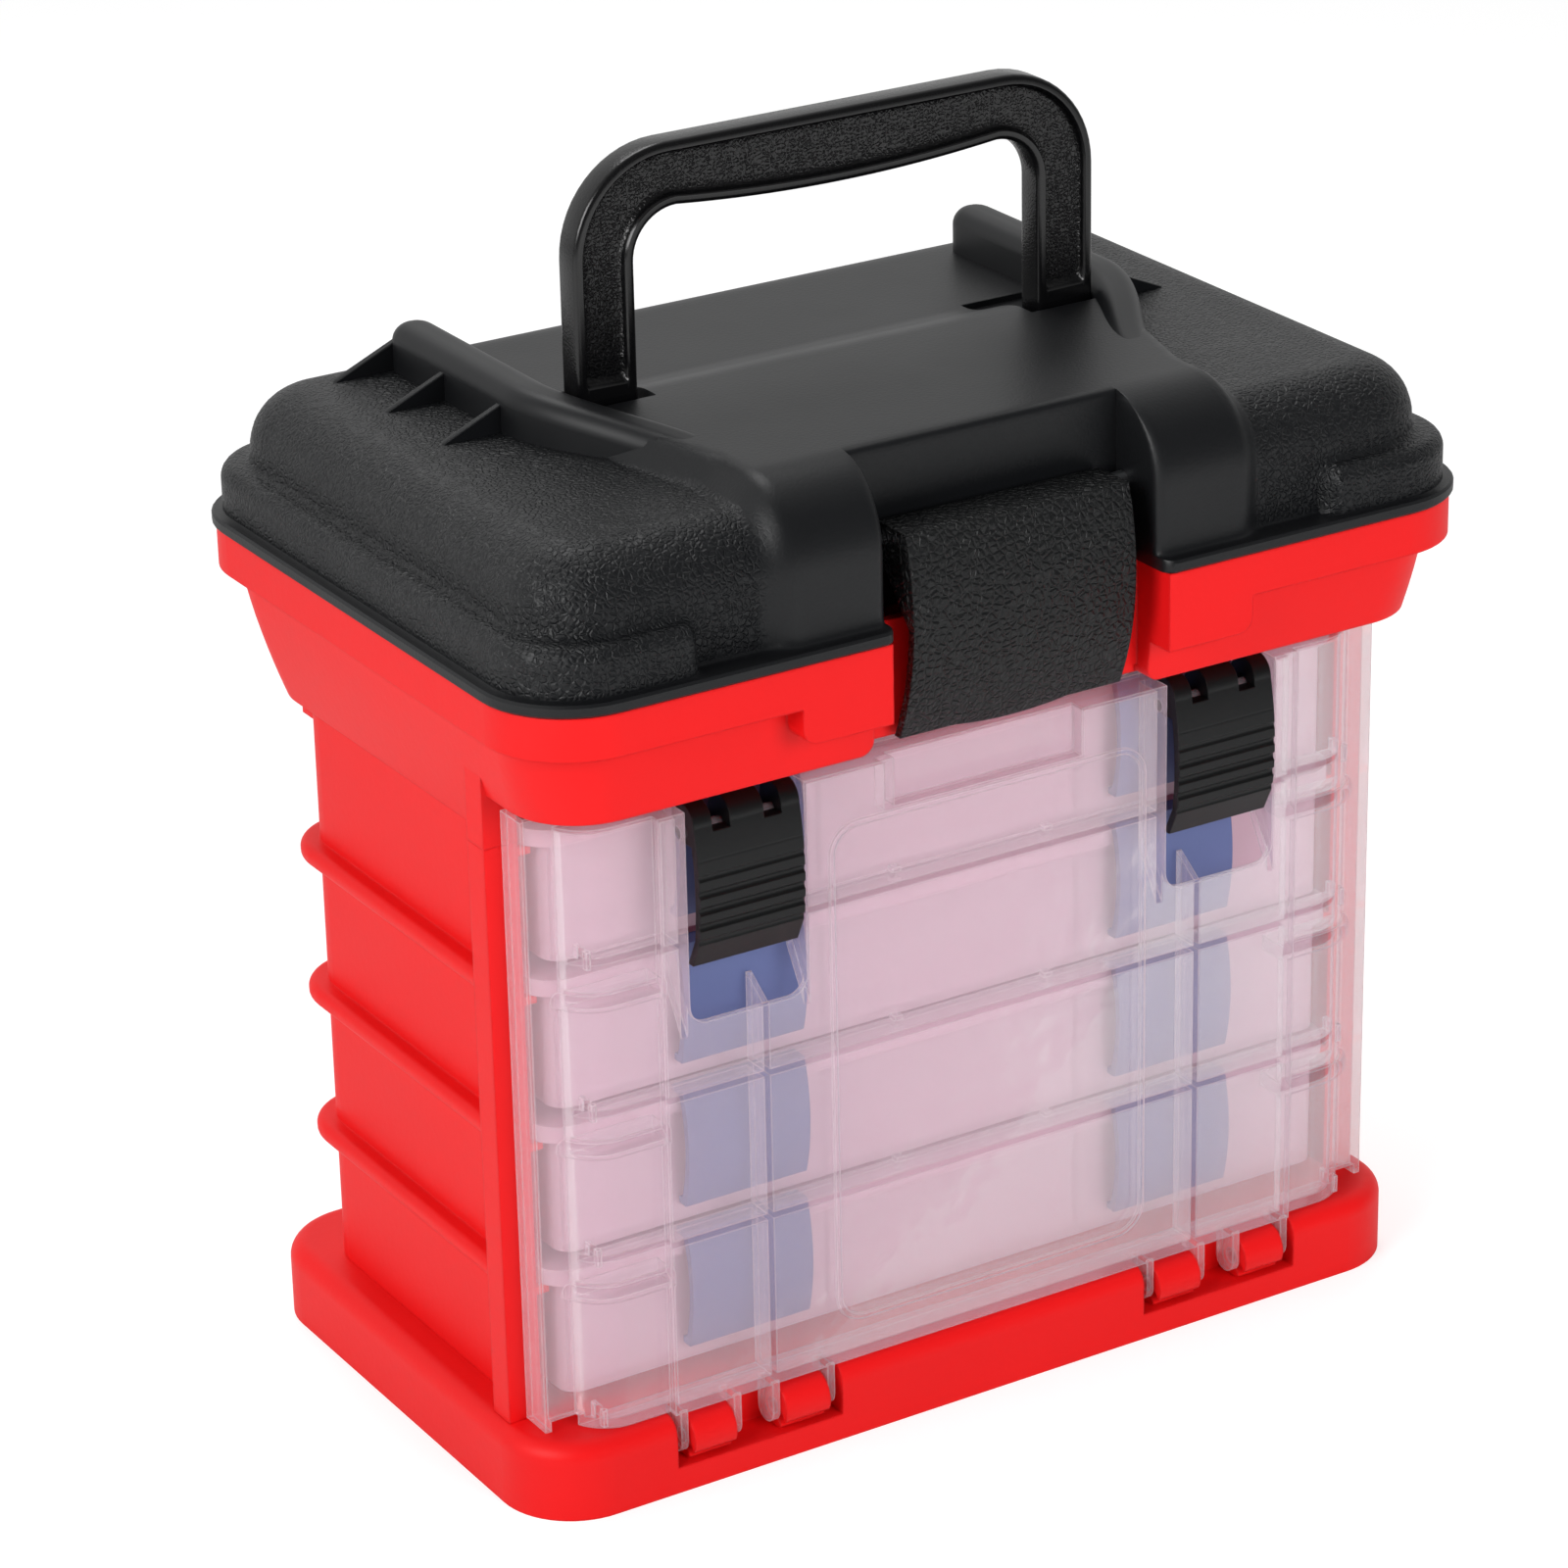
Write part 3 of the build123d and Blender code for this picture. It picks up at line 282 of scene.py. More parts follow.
black_lid = leather("black_polypropylene_leather_grain", "#0F1012", 0.42, cell=1.5, depth=0.22)
black_latch = leather(
    "black_polypropylene_deep_leather", "#0E0F10", 0.42, cell=1.9, depth=0.42, edge=0.8, everywhere=True)
black_handle = leather("black_gloss_polypropylene", "#070708", 0.2, cell=1.0, depth=0.09, sheen=0.5)
print("grained plastics:", black_lid.name, black_latch.name, black_handle.name)


# %% [markdown]
# ## Steel pins
#
# The hinge pins are drawn wire: plain steel with fine lines along the wire, and little to see of
# them but their ends.

# %% Drawn steel wire
def drawn_steel():
    """Metal with noise stretched along X, the way the wire was drawn."""
    material, tree = new_material("drawn_steel_wire")
    where = add(tree, "ShaderNodeTexCoord").outputs["Object"]
    along = add(tree, "ShaderNodeMapping", None, {"Vector": where, "Scale": (40, 2500, 2500)})
    dull = remap(tree, noise(tree, along.outputs[0], 1.0), (0.0, 1.0), (0.25, 0.42))
    shader = add(tree, "ShaderNodeBsdfPrincipled", None, {
        "Base Color": linear("#B9BBBE"), "Metallic": 1.0, "Roughness": dull})
    finish_material(tree, shader.outputs[0])
    return material


steel = drawn_steel()
print("metal:", steel.name)


# %% [markdown]
# ## Clear door and organizers: natural polypropylene
#
# Polypropylene without a pigment is milky, not glass clear: each wall lets most light straight
# through and scatters the rest, more so where it is seen edge-on, because the way through it is
# longer. So each wall mixes a see-through shader with a pale one, by how steeply it is seen, and
# a thin gloss goes over both. The pale colour is tinted pink: a painted cast of the light that
# the red case throws on the real walls. Ribs and edges are thicker and look whiter: there the
# rounded normal of the Bevel node turns away from the true one, and that angle adds to the haze
# and turns the pale colour white, partly the thicker wall's own haze and partly a painted glow.

# %% Milky walls
GLOSS_SHARE = 0.4


def milky(name, code, haze, edge_haze, rim_haze, roughness, edge):
    """A see-through wall with a pale haze under a gloss. The share of haze goes from haze, seen
    square on, to edge_haze, seen edge-on, and a rounded edge adds rim_haze; there the pale
    colour also turns white, a painted glow."""
    material, tree = new_material(name)
    where = add(tree, "ShaderNodeTexCoord").outputs["Object"]
    round_edge = rounded(tree, edge)
    ripple = bumped(tree, noise(tree, where, 30.0, 3.0), 0.3, round_edge)
    facing = add(tree, "ShaderNodeLayerWeight", None, {"Blend": 0.3, "Normal": round_edge})
    mist = remap(tree, facing.outputs["Facing"], (0.2, 1.0), (haze, edge_haze))
    flat = add(tree, "ShaderNodeNewGeometry").outputs["True Normal"]
    along = add(tree, "ShaderNodeVectorMath", {"operation": "DOT_PRODUCT"}, {0: round_edge, 1: flat})
    rim = remap(tree, along.outputs["Value"], (0.995, 0.85), (0.0, rim_haze))
    thick = add(tree, "ShaderNodeMath", {"operation": "ADD", "use_clamp": True}, {0: mist, 1: rim})
    # Towards the rims the pale colour turns white: a painted glow of light carried inside the plastic.
    white = add(tree, "ShaderNodeMix", {"data_type": "RGBA"}, {
        0: rim, 6: linear(code), 7: linear("#FDFAFC")}).outputs[2]
    lit = add(tree, "ShaderNodeBsdfDiffuse", None, {"Color": white, "Normal": round_edge})
    glow = add(tree, "ShaderNodeBsdfTranslucent", None, {"Color": white})
    through = remap(tree, rim, (0.0, rim_haze), (0.3, 0.55))
    pale = mix(tree, through, lit.outputs[0], glow.outputs[0])
    clear = add(tree, "ShaderNodeBsdfTransparent", None, {"Color": (1, 1, 1, 1)})
    wall = mix(tree, thick.outputs[0], clear.outputs[0], pale)
    gloss = add(tree, "ShaderNodeBsdfGlossy", None, {
        "Color": (1, 1, 1, 1), "Roughness": roughness, "Normal": ripple})
    mirror = add(tree, "ShaderNodeFresnel", None, {"IOR": PLASTIC_IOR, "Normal": ripple})
    thin = add(tree, "ShaderNodeMath", {"operation": "MULTIPLY"}, {0: mirror.outputs[0], 1: GLOSS_SHARE})
    finish_material(tree, mix(tree, thin.outputs[0], wall, gloss.outputs[0]))
    return material


# Both pale codes are tinted pink: painted light bounced off the red case, not the plastic's own colour.
clear_door = milky(
    "natural_polypropylene_door", "#FDE9F4",
    haze=0.15, edge_haze=0.32, rim_haze=0.6, roughness=0.16, edge=0.7)
clear_tray = milky(
    "natural_polypropylene_tray", "#FBDAE9",
    haze=0.62, edge_haze=0.9, rim_haze=0.25, roughness=0.22, edge=0.5)
print("clear plastics:", clear_door.name, clear_tray.name)


# %% Plastics for the CAD nodes
def dress(node, material):
    """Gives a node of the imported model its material."""
    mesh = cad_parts[node].data
    mesh.materials.clear()
    mesh.materials.append(material)


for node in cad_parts:
    if node in ("base_plate", "cabinet_walls", "top_tub"):
        dress(node, red_case)
    elif node == "main_latch":
        dress(node, black_latch)
    elif node in ("door_latch_left", "door_latch_right"):
        dress(node, black_clip)
    elif node == "door":
        dress(node, clear_door)
    elif node.endswith("_pin") or node.endswith("_pins"):
        dress(node, steel)
    elif "organizer" in node and "latch" in node:
        dress(node, blue_clip)
    elif "organizer" in node:
        dress(node, clear_tray)
print("dressed:", len(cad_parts) - 2, "CAD nodes; lid and handle are built again below")


# %% [markdown]
# ## The lid
#
# The lid is one moulding: a flat brim, a bead that runs round it except in the middle of the
# front, and a dome. A band across its middle carries the handle. It stands proud of the dome in
# front as two pillars, with a recess for the latch between them. The whole skin is worked out as
# level lines, one above the other, each a rectangle with round corners, and the front stretch of
# each line is then moved to the pillars and the recess. A rectangle of points closes the top.

# %% Sizes of the lid
SEAT, FLANGE, TOP, BAND_TOP = 216.4, 219.6, 250.2, 257.0
WALL, CORNER_STEPS, GRID_STEP = 2.4, 9, 1.9

# Level lines: half-width, half-depth and corner radius, then the height and radius of the
# quarter circle that starts there.
BEAD, BEAD_SPRING, BEAD_ROUND = (132.0, 86.15, 20.6), 227.7, 4.0
DOME, DOME_SPRING, DOME_ROUND = (126.0, 80.8, 20.0), 235.2, 15.0
CORE = (106.0, 60.8)

# The front: where the bead ends, the pillars, and the recess between them.
BEAD_GAP, BEAD_END = 89.0, 1.6
PILLAR, PILLAR_SIDE, PILLAR_FRONT, PILLAR_SPRING, PILLAR_ROUND = 66.5, 4.2, -84.3, 237.0, 20.0
RECESS, RECESS_ROUND, RECESS_BACK, RECESS_SOFT = 38.0, 3.2, -65.3, 2.2

# The top: the handle's pockets, and the band with its knee and its ramp.
POCKET_X, POCKET_Y, POCKET_FLOOR, POCKET_EDGE = (54.0, 76.0), (-7.6, 24.0), 248.4, 0.15
KNEE_Y, KNEE_HALF, RAMP_Y = (-54.3, -2.3), 80.0, (-3.6, 22.0)
SMOOTH_GRAIN = 0.06


def spread(limit, step, fine=()):
    """Grid lines from -limit to limit: an even spacing plus close lines round given places."""
    close = np.array([-3, -2, -1.2, -0.6, -0.3, -0.1, 0.1, 0.3, 0.6, 1.2, 2, 3])
    lines = [np.arange(-limit, limit + step / 2, step)]
    for place in fine:
        lines += [place + close, -place + close]
    lines = np.unique(np.round(np.concatenate(lines), 2))
    return lines[np.abs(lines) <= limit]


LINES_X = spread(104.5, GRID_STEP, (RECESS, RECESS + WALL, *POCKET_X))
LINES_Y = spread(59.5, GRID_STEP, POCKET_Y)
print("lid grid:", len(LINES_X), "by", len(LINES_Y))


# %% Level lines of the lid
def ring(half_x, half_y, radius):
    """A rectangle with round corners as one closed line of points, front side first: straight
    runs at the shared grid lines, and corners as quarter circles r(cos a, sin a)."""
    in_x, in_y = half_x - radius, half_y - radius
    run_x = np.concatenate([[-in_x], LINES_X, [in_x]])
    run_y = np.concatenate([[-in_y], LINES_Y, [in_y]])
    turn = np.linspace(0, np.pi / 2, CORNER_STEPS + 2)[1:-1]
    parts = []
    for quarter, (run, flip) in enumerate(((run_x, 1), (run_y, 1), (run_x, -1), (run_y, -1))):
        if quarter % 2 == 0:
            side = np.stack([flip * run, np.full(len(run), -flip * half_y)], axis=1)
        else:
            side = np.stack([np.full(len(run), flip * half_x), flip * run], axis=1)
        angle = turn + (quarter - 1) * np.pi / 2
        centre = np.array([(1, -1), (1, 1), (-1, 1), (-1, -1)][quarter]) * (in_x, in_y)
        corner = centre + radius * np.stack([np.cos(angle), np.sin(angle)], axis=1)
        parts += [side, corner]
    return np.concatenate(parts)


def quarter_round(start, radius, steps):
    """Levels up a quarter circle that starts upright: inset r(1 - cos a), rise r sin a."""
    angle = np.linspace(0, np.pi / 2, steps + 1)[1:]
    half_x, half_y, corner, low = start
    inset = radius * (1 - np.cos(angle))
    rise = radius * np.sin(angle)
    return [(half_x - d, half_y - d, max(corner - d, 0), low + h) for d, h in zip(inset, rise)]


def outer_levels():
    """Levels of the outside from the brim's lower edge to the dome's flat, each with the same
    level as it runs without a bead and as it runs on a pillar: (half_x, half_y, corner, z)."""
    bead = [
        (134.4, 88.15, 23.0, SEAT), (135.0, 88.75, 23.6, SEAT + 0.6), (135.0, 88.75, 23.6, FLANGE - 0.6),
        (134.4, 88.15, 23.0, FLANGE), (132.8, 86.95, 21.4, FLANGE), (132.1, 86.25, 20.7, FLANGE + 0.3),
        (*BEAD, FLANGE + 1.2), (*BEAD, BEAD_SPRING),
    ]
    bead += quarter_round((*BEAD, BEAD_SPRING), BEAD_ROUND, 6)
    bead += [(127.2, 81.7, 19.4, 231.8), (126.4, 81.1, 19.8, 232.4), (126.1, 80.85, 20.0, 233.4)]
    plain_y = [86.4, 84.6, 82.6, 81.6, 81.0, 80.85] + [DOME[1]] * 7
    plain_z = [FLANGE, FLANGE, FLANGE, 219.8, 220.4, 221.4] + list(np.linspace(223, 232.8, 7))
    pillar_y = [86.6, 85.4, 84.75, 84.4] + [-PILLAR_FRONT] * 9
    pillar_z = [FLANGE, 219.7, 220.1, 221.0] + list(np.linspace(222.5, 235.5, 9))
    walls = [(*DOME, DOME_SPRING)]
    walls += quarter_round((*DOME, DOME_SPRING), DOME_ROUND, 12)
    walls += [(108.5, 63.3, 2.5, TOP), (*CORE, 0.0, TOP)]
    on_pillar = [(-PILLAR_FRONT, PILLAR_SPRING)]
    for angle in np.linspace(0, np.pi / 2, 13)[1:]:
        on_pillar.append((
            -PILLAR_FRONT - PILLAR_ROUND * (1 - math.cos(angle)),
            PILLAR_SPRING + PILLAR_ROUND * math.sin(angle)))
    on_pillar += [(62.5, BAND_TOP), (CORE[1], BAND_TOP)]
    levels = np.array(bead + walls)
    brim, above = levels[:4, [1, 3]], levels[len(bead):, [1, 3]]
    plain = np.concatenate([brim, np.stack([plain_y, plain_z], 1), above])
    pillar = np.concatenate([brim, np.stack([pillar_y, pillar_z], 1), np.array(on_pillar)])
    return levels, plain, pillar


def inner_levels():
    """The same three sets of levels for the hollow, one wall inside the outer skin."""
    levels = np.array([
        (129.6, 83.75, 18.2, SEAT), (129.6, 83.75, 18.2, 228.0), (129.0, 83.2, 18.0, 229.3),
        (124.4, 79.2, 17.6, 229.3), (123.6, 78.4, 17.6, 230.5), (123.6, 78.4, 17.6, 239.1),
        (122.3, 77.1, 16.3, 241.5), (117.0, 71.8, 11.0, 246.8), (114.6, 69.4, 8.6, 247.8),
        (110.0, 64.8, 4.0, 247.8), (*CORE, 0.0, 247.8),
    ])
    plain = levels[:, [1, 3]].copy()
    plain[:4, 0] = 78.4
    pillar = np.array([
        (81.9, SEAT), (81.9, 224.0), (81.9, 229.0), (81.9, 233.0), (81.9, 236.0), (81.4, 240.0),
        (78.6, 247.0), (74.0, 252.0), (68.0, 254.3), (64.0, 254.6), (CORE[1], 254.6),
    ])
    return levels, plain, pillar


# %% [markdown]
# The top of the lid is a height over (X, Y): the dome's flat, lifted to the band between the
# band's edges, with a ramp down behind the handle's legs and two pockets that the legs turn in.
# Each step is an S curve, as wide as the moulding's own rounding there.

# %% Height of the lid's top
def band_edge(y):
    """Half-width of the band at Y: widest back to its knee, then straight to the pillars."""
    return np.interp(y, KNEE_Y, [PILLAR, KNEE_HALF])


def top_height(x, y, inset):
    """Z of the lid's top at (x, y); inset is 0 for the skin and the wall for the hollow."""
    side = np.abs(x)
    band = BAND_TOP - (BAND_TOP - TOP) * ease(*RAMP_Y, y)
    soft = np.interp(y, [-60, -20, 0], [4.2, 2.6, 1.6])
    on_band = ease(-soft, soft, band_edge(y) - side - inset)
    height = TOP + (band - TOP) * on_band - inset
    from_x = np.minimum(side - POCKET_X[0], POCKET_X[1] - side) + inset
    from_y = np.minimum(y - POCKET_Y[0], POCKET_Y[1] - y) + inset
    in_pocket = ease(-POCKET_EDGE, POCKET_EDGE, from_x) * ease(-POCKET_EDGE, POCKET_EDGE, from_y)
    return height + (np.minimum(height, POCKET_FLOOR - inset) - height) * in_pocket


def skin(levels, plain, pillar, inset):
    """The grid of level lines with its front moved to the pillars and the recess. The recess's
    side is a quarter circle; its back is a soft maximum, s log(1 + e^(d/s)), of two surfaces."""
    rings = np.stack([ring(*level[:3]) for level in levels])
    heights = np.repeat(levels[:, 3, None, None], rings.shape[1], axis=1)
    grid = np.concatenate([rings, heights], axis=2)
    front = grid[:, :len(LINES_X) + 2]
    x = np.abs(front[..., 0])
    bare = ease(-BEAD_END, BEAD_END, BEAD_GAP + inset - x)
    raised = ease(-PILLAR_SIDE, PILLAR_SIDE, PILLAR - inset - x)
    for column, axis, sign in ((0, 1, -1), (1, 2, 1)):
        target = front[..., axis]
        target = target + (sign * plain[:, column, None] - target) * bare
        target = target + (sign * pillar[:, column, None] - target) * raised
        front[..., axis] = target
    reach = np.clip((RECESS + inset + RECESS_ROUND - x) / RECESS_ROUND, 0, 1)
    share = (1 - np.sqrt(1 - reach * reach)) * RECESS_ROUND / (RECESS_BACK - PILLAR_FRONT)
    share = np.where(x < RECESS + inset - 0.05, 1.0, share)
    deep = RECESS_BACK + inset
    blend = RECESS_SOFT * np.logaddexp(0, (front[..., 1] - deep) / RECESS_SOFT)
    pushed = deep + blend - RECESS_SOFT * math.log(2) * (inset == 0)
    pushed = np.maximum(pushed, front[..., 1])
    front[..., 1] += (pushed - front[..., 1]) * share
    return grid


def lid_grain(x, y, z):
    """Full grain beyond the band and above the brim, and hardly any elsewhere."""
    beyond = ease(0.0, 5.0, np.abs(x) - band_edge(y) - 1.0)
    return SMOOTH_GRAIN + (1 - SMOOTH_GRAIN) * beyond * (z > FLANGE + 0.5)


def lid_skin():
    """The lid as one closed skin: outside, brim and hollow, and the two tops."""
    outside = skin(*outer_levels(), 0.0)
    inside = skin(*inner_levels(), WALL)
    xs = np.concatenate([[-CORE[0]], LINES_X, [CORE[0]]])
    ys = np.concatenate([[-CORE[1]], LINES_Y, [CORE[1]]])
    x, y = np.meshgrid(xs, ys)
    behind = len(xs) + CORNER_STEPS + len(ys) + CORNER_STEPS
    grids = [(np.concatenate([inside[:1], outside]), True), (inside, True)]
    for inset, rim in ((0.0, outside), (WALL, inside)):
        top = np.stack([x, y, top_height(x, y, inset)], axis=-1)
        top[0] = rim[-1, :len(xs)]
        top[-1] = rim[-1, behind:behind + len(xs)][::-1]
        grids.append((top, False))
    return piece("lid_skin", grids, "lid", black_lid, ["lid"])


set_grain(lid_skin(), lid_grain)

# %% [markdown]
# Two beams stand on the lid beside the band. Each is a bar with upright sides, a rounded top and a
# round rear end, and in front it leans inwards and sinks into the band's edge. Three thin gussets
# prop it from outside. Behind the lid are the knuckles that its hinge pins run through.

# %% Ridges, gussets and knuckles
RIDGE_X, RIDGE_HALF, RIDGE_TOP, RIDGE_ROUND, RIDGE_BACK = 82.0, 6.0, 262.0, 4.6, 59.7
NOSE_Y, NOSE_LEAN, NOSE_DROP = (6.0, -50.0), 21.5, 5.6
FOOT, FOOT_STEP_Y, FOOT_RISE_IN, FOOT_RISE_OUT = 248.4, (-6.0, -9.0), 6.6, 1.6
GUSSETS, GUSSET_HALF, GUSSET_EDGE = (62.7, 35.7, 7.7), 1.0, 0.25
REAR_X, REAR_HALF, REAR_Y, REAR_Z = 85.0, 9.0, 91.5, 213.2
REAR_BARREL, REAR_HOLE, REAR_EDGE = 3.6, 1.57, 0.3


def ridge(side):
    """A beam along Y. At a distance d from its outline the top is z = top - r + sqrt(r^2 - (r - d)^2),
    and round the rear end the outline is a circle, so d = half-width - sqrt(u^2 + e^2)."""
    past_end = RIDGE_HALF * np.sin(np.linspace(np.pi / 2, 0, 9))
    y = np.concatenate([RIDGE_BACK + past_end, np.linspace(57, 6, 18), np.linspace(4, -50, 28)])
    past_end = np.maximum(y - RIDGE_BACK, 0)
    half = np.sqrt(RIDGE_HALF ** 2 - past_end ** 2)
    nose = ease(*NOSE_Y, y)
    middle = RIDGE_X - NOSE_LEAN * nose
    top = RIDGE_TOP - NOSE_DROP * nose
    u = half[:, None] * np.sin(np.linspace(-np.pi / 2, np.pi / 2, 21))
    inwards = RIDGE_HALF - np.hypot(u, past_end[:, None])
    sunk = np.clip(RIDGE_ROUND - inwards, 0, RIDGE_ROUND)
    z = top[:, None] - RIDGE_ROUND + np.sqrt(RIDGE_ROUND ** 2 - sunk ** 2)
    foot_in = FOOT + FOOT_RISE_IN * ease(*FOOT_STEP_Y, y)
    foot_out = FOOT + FOOT_RISE_OUT * ease(*FOOT_STEP_Y, y)
    u = np.concatenate([u[:, :1], u, u[:, -1:]], axis=1)
    z = np.concatenate([foot_in[:, None], z, foot_out[:, None]], axis=1)
    x = side * (middle[:, None] + u)
    grid = np.stack([x, np.broadcast_to(y[:, None], x.shape), z], axis=-1)
    return piece("lid_ridge", [(capped(grid), True)], "lid", black_lid)


def gusset(side, y):
    """A triangular rib in the (X, Z) plane, carried along Y, with its long edges cut back."""
    outline = np.array([(86.5, 248.4), (103.6, 248.4), (103.6, 250.2), (103.2, 250.6), (86.5, 257.8)])
    inner = GUSSET_HALF - GUSSET_EDGE
    rows = []
    for shift, drop in ((-GUSSET_HALF, GUSSET_EDGE), (-inner, 0), (inner, 0), (GUSSET_HALF, GUSSET_EDGE)):
        rows.append(np.stack([side * outline[:, 0], np.full(5, y + shift), outline[:, 1] - drop], axis=1))
    return piece("lid_gusset", [(capped(np.stack(rows)), True)], "lid", black_lid)


def knuckle(side):
    """A barrel round the hinge pin, as a thick ring carried along X, and the arm that holds it."""
    x0, x1 = side * REAR_X - REAR_HALF, side * REAR_X + REAR_HALF
    rim = REAR_BARREL - REAR_EDGE
    profile = (
        (x0, REAR_HOLE), (x0, rim), (x0 + REAR_EDGE, REAR_BARREL), (x1 - REAR_EDGE, REAR_BARREL),
        (x1, rim), (x1, REAR_HOLE), (x0, REAR_HOLE),
    )
    rows = [hoop(x, REAR_Y, REAR_Z, radius, 32) for x, radius in profile]
    arm = np.array([
        (84.0, 216.5), (88.4, 216.5), (88.7, 215.3), (90.1, 214.4), (91.5, 214.9), (92.9, 214.4),
        (94.3, 215.4), (93.2, 217.2), (91.0, 218.2), (84.0, 218.2),
    ])
    ends = [np.stack([np.full(10, x), arm[:, 0], arm[:, 1]], axis=1) for x in (x0 + 0.1, x1 - 0.1)]
    piece("lid_knuckle", [(np.stack(rows), True)], "lid", black_lid)
    piece("lid_knuckle_arm", [(capped(np.stack(ends)), True)], "lid", black_lid)


for side in (-1, 1):
    ridge(side)
    knuckle(side)
    for place in GUSSETS:
        gusset(side, place)


# %% [markdown]
# ## The handle
#
# The handle is a bent bar with a raised rim along each edge and a sunk, grained web between them.
# It is an outer line and an inner line in the (X, Z) plane with the same count of points. Each
# pair of points carries one section of the bar, and the section closes to a half-round at the
# feet, where the handle turns on its pivot.

# %% Lines of the handle
PIVOT_Y, PIVOT_Z, GRIP_HALF, GRIP_TOP, BAR_HALF = -1.6, 254.5, 73.5, 317.5, 4.1
LEG, GRIP_HEIGHT, GRIP_CORNER, INNER_CORNER, BELLY = 16.3, 15.8, 26.0, 12.0, 2.4
WEB_DEPTH, WEB_START = 2.3, (260.6, 262.6)
TRUNNION, TRUNNION_ENDS = 3.0, (72.5, 75.9)


def handle_lines():
    """Outer and inner line from the left foot to the right one, and how thick the bar is there."""
    foot = np.radians([-90, -66, -45, -27, -12])
    inner_half, inner_top = GRIP_HALF - LEG, GRIP_TOP - GRIP_HEIGHT
    low = PIVOT_Z + BAR_HALF * np.sin(foot)
    where_web_starts = [0.17, 0.2, 0.22]
    rise = np.sort(np.append(np.linspace(0, 1, 17), where_web_starts))
    outer, inner = [], []
    for line, half, top, corner in (
        (outer, GRIP_HALF, GRIP_TOP, GRIP_CORNER), (inner, inner_half, inner_top, INNER_CORNER)
    ):
        z = np.concatenate([low, PIVOT_Z + (top - corner - PIVOT_Z) * rise])
        line.append(np.stack([np.full(len(z), -half), z], axis=1))
        turn = np.radians(np.linspace(180, 90, 15))
        x = corner - half + corner * np.cos(turn)
        line.append(np.stack([x, top - corner + corner * np.sin(turn)], axis=1))
        x = np.linspace(corner - half, 0, 15)
        sag = BELLY * (1 - (x / (half - corner)) ** 2) if line is inner else 0 * x
        line.append(np.stack([x, top - sag], axis=1))
    thick = np.concatenate([np.cos(foot), np.ones(len(rise) + 30)])
    left = [np.concatenate(line) for line in (outer, inner)]
    both = [np.concatenate([line, line[::-1] * (-1, 1)]) for line in left]
    return both[0], both[1], np.concatenate([thick, thick[::-1]])


# %% Section and skin of the handle
def handle_grain(x, y, z):
    """Grain in the sunk web, and none on the rims."""
    return ease(0.8, 2.2, BAR_HALF - np.abs(y - PIVOT_Y))


def handle():
    """Sections between the two lines. From each edge inwards the section is a quarter circle of
    1.2 mm, the flat rim, and an S down to the web; the back mirrors the front."""
    outer, inner, thick = handle_lines()
    near = np.array([0, 0.16, 0.6, 1.2, 2.2, 2.5, 2.8, 3.1, 3.5, 5.2])
    rounding = np.array([1.2, 0.6, 0.16, 0, 0, 0, 0, 0, 0, 0])
    web = np.array([0, 0, 0, 0, 0, 0.12, 0.5, 0.88, 1, 1])
    width = np.linalg.norm(inner - outer, axis=1)[:, None]
    across = np.concatenate([np.broadcast_to(near, (len(width), 10)), width - near[::-1]], axis=1)
    depth = WEB_DEPTH * ease(*WEB_START, outer[:, 1])[:, None]
    sunk = np.concatenate([rounding, rounding[::-1]]) + depth * np.concatenate([web, web[::-1]])
    y = (BAR_HALF - sunk) * thick[:, None]
    across = np.concatenate([across, across[:, ::-1]], axis=1)
    y = PIVOT_Y + np.concatenate([-y, y[:, ::-1]], axis=1)
    flat = outer[:, None] + (inner - outer)[:, None] * (across / width)[..., None]
    grid = np.stack([flat[..., 0], y, flat[..., 1]], axis=-1)
    bar = piece("handle_bar", [(capped(grid), True)], "handle", black_handle, ["handle"])
    set_grain(bar, handle_grain)
    for side in (-1, 1):
        rows = [hoop(side * x, PIVOT_Y, PIVOT_Z, TRUNNION, 24) for x in TRUNNION_ENDS]
        piece("handle_trunnion", [(capped(np.stack(rows)), True)], "handle", black_handle)


handle()

# %% [markdown]
# ## The picture
#
# The camera stands where the photograph's did, to the left of the front and above it, with a long
# lens. Its angles are in radians. The floor and the background are white for the camera only, so
# they light nothing; lamps and floor are placed in metres.

# %% Camera
LENS, SENSOR = 124.55, 36.0
AZIMUTH, ELEVATION, ROLL = -0.5450957, 0.4060904, -0.022044
DISTANCE, TARGET = 1380.43, np.array([-4.003, 19.767, 134.553])


def aim_camera():
    """Places the camera on a sphere round its target, and turns it about its own axis."""
    level = math.cos(ELEVATION)
    back = np.array([math.sin(AZIMUTH) * level, -math.cos(AZIMUTH) * level, math.sin(ELEVATION)])
    right = np.cross((0, 0, 1), back)
    right /= np.linalg.norm(right)
    up = np.cross(back, right)
    rolled_right = right * math.cos(ROLL) + up * math.sin(ROLL)
    rolled_up = up * math.cos(ROLL) - right * math.sin(ROLL)
    data = bpy.data.cameras.new("photo_camera")
    data.lens, data.sensor_width = LENS, SENSOR
    data.clip_end = 20.0
    camera = bpy.data.objects.new("photo_camera", data)
    matrix = np.eye(4)
    matrix[:3, 0], matrix[:3, 1], matrix[:3, 2] = rolled_right, rolled_up, back
    matrix[:3, 3] = (TARGET + back * DISTANCE) * MM
    camera.matrix_world = Matrix(matrix.tolist())
    bpy.context.scene.collection.objects.link(camera)
    bpy.context.scene.camera = camera
    print("camera at", [round(value, 3) for value in matrix[:3, 3].tolist()], "metres")


aim_camera()


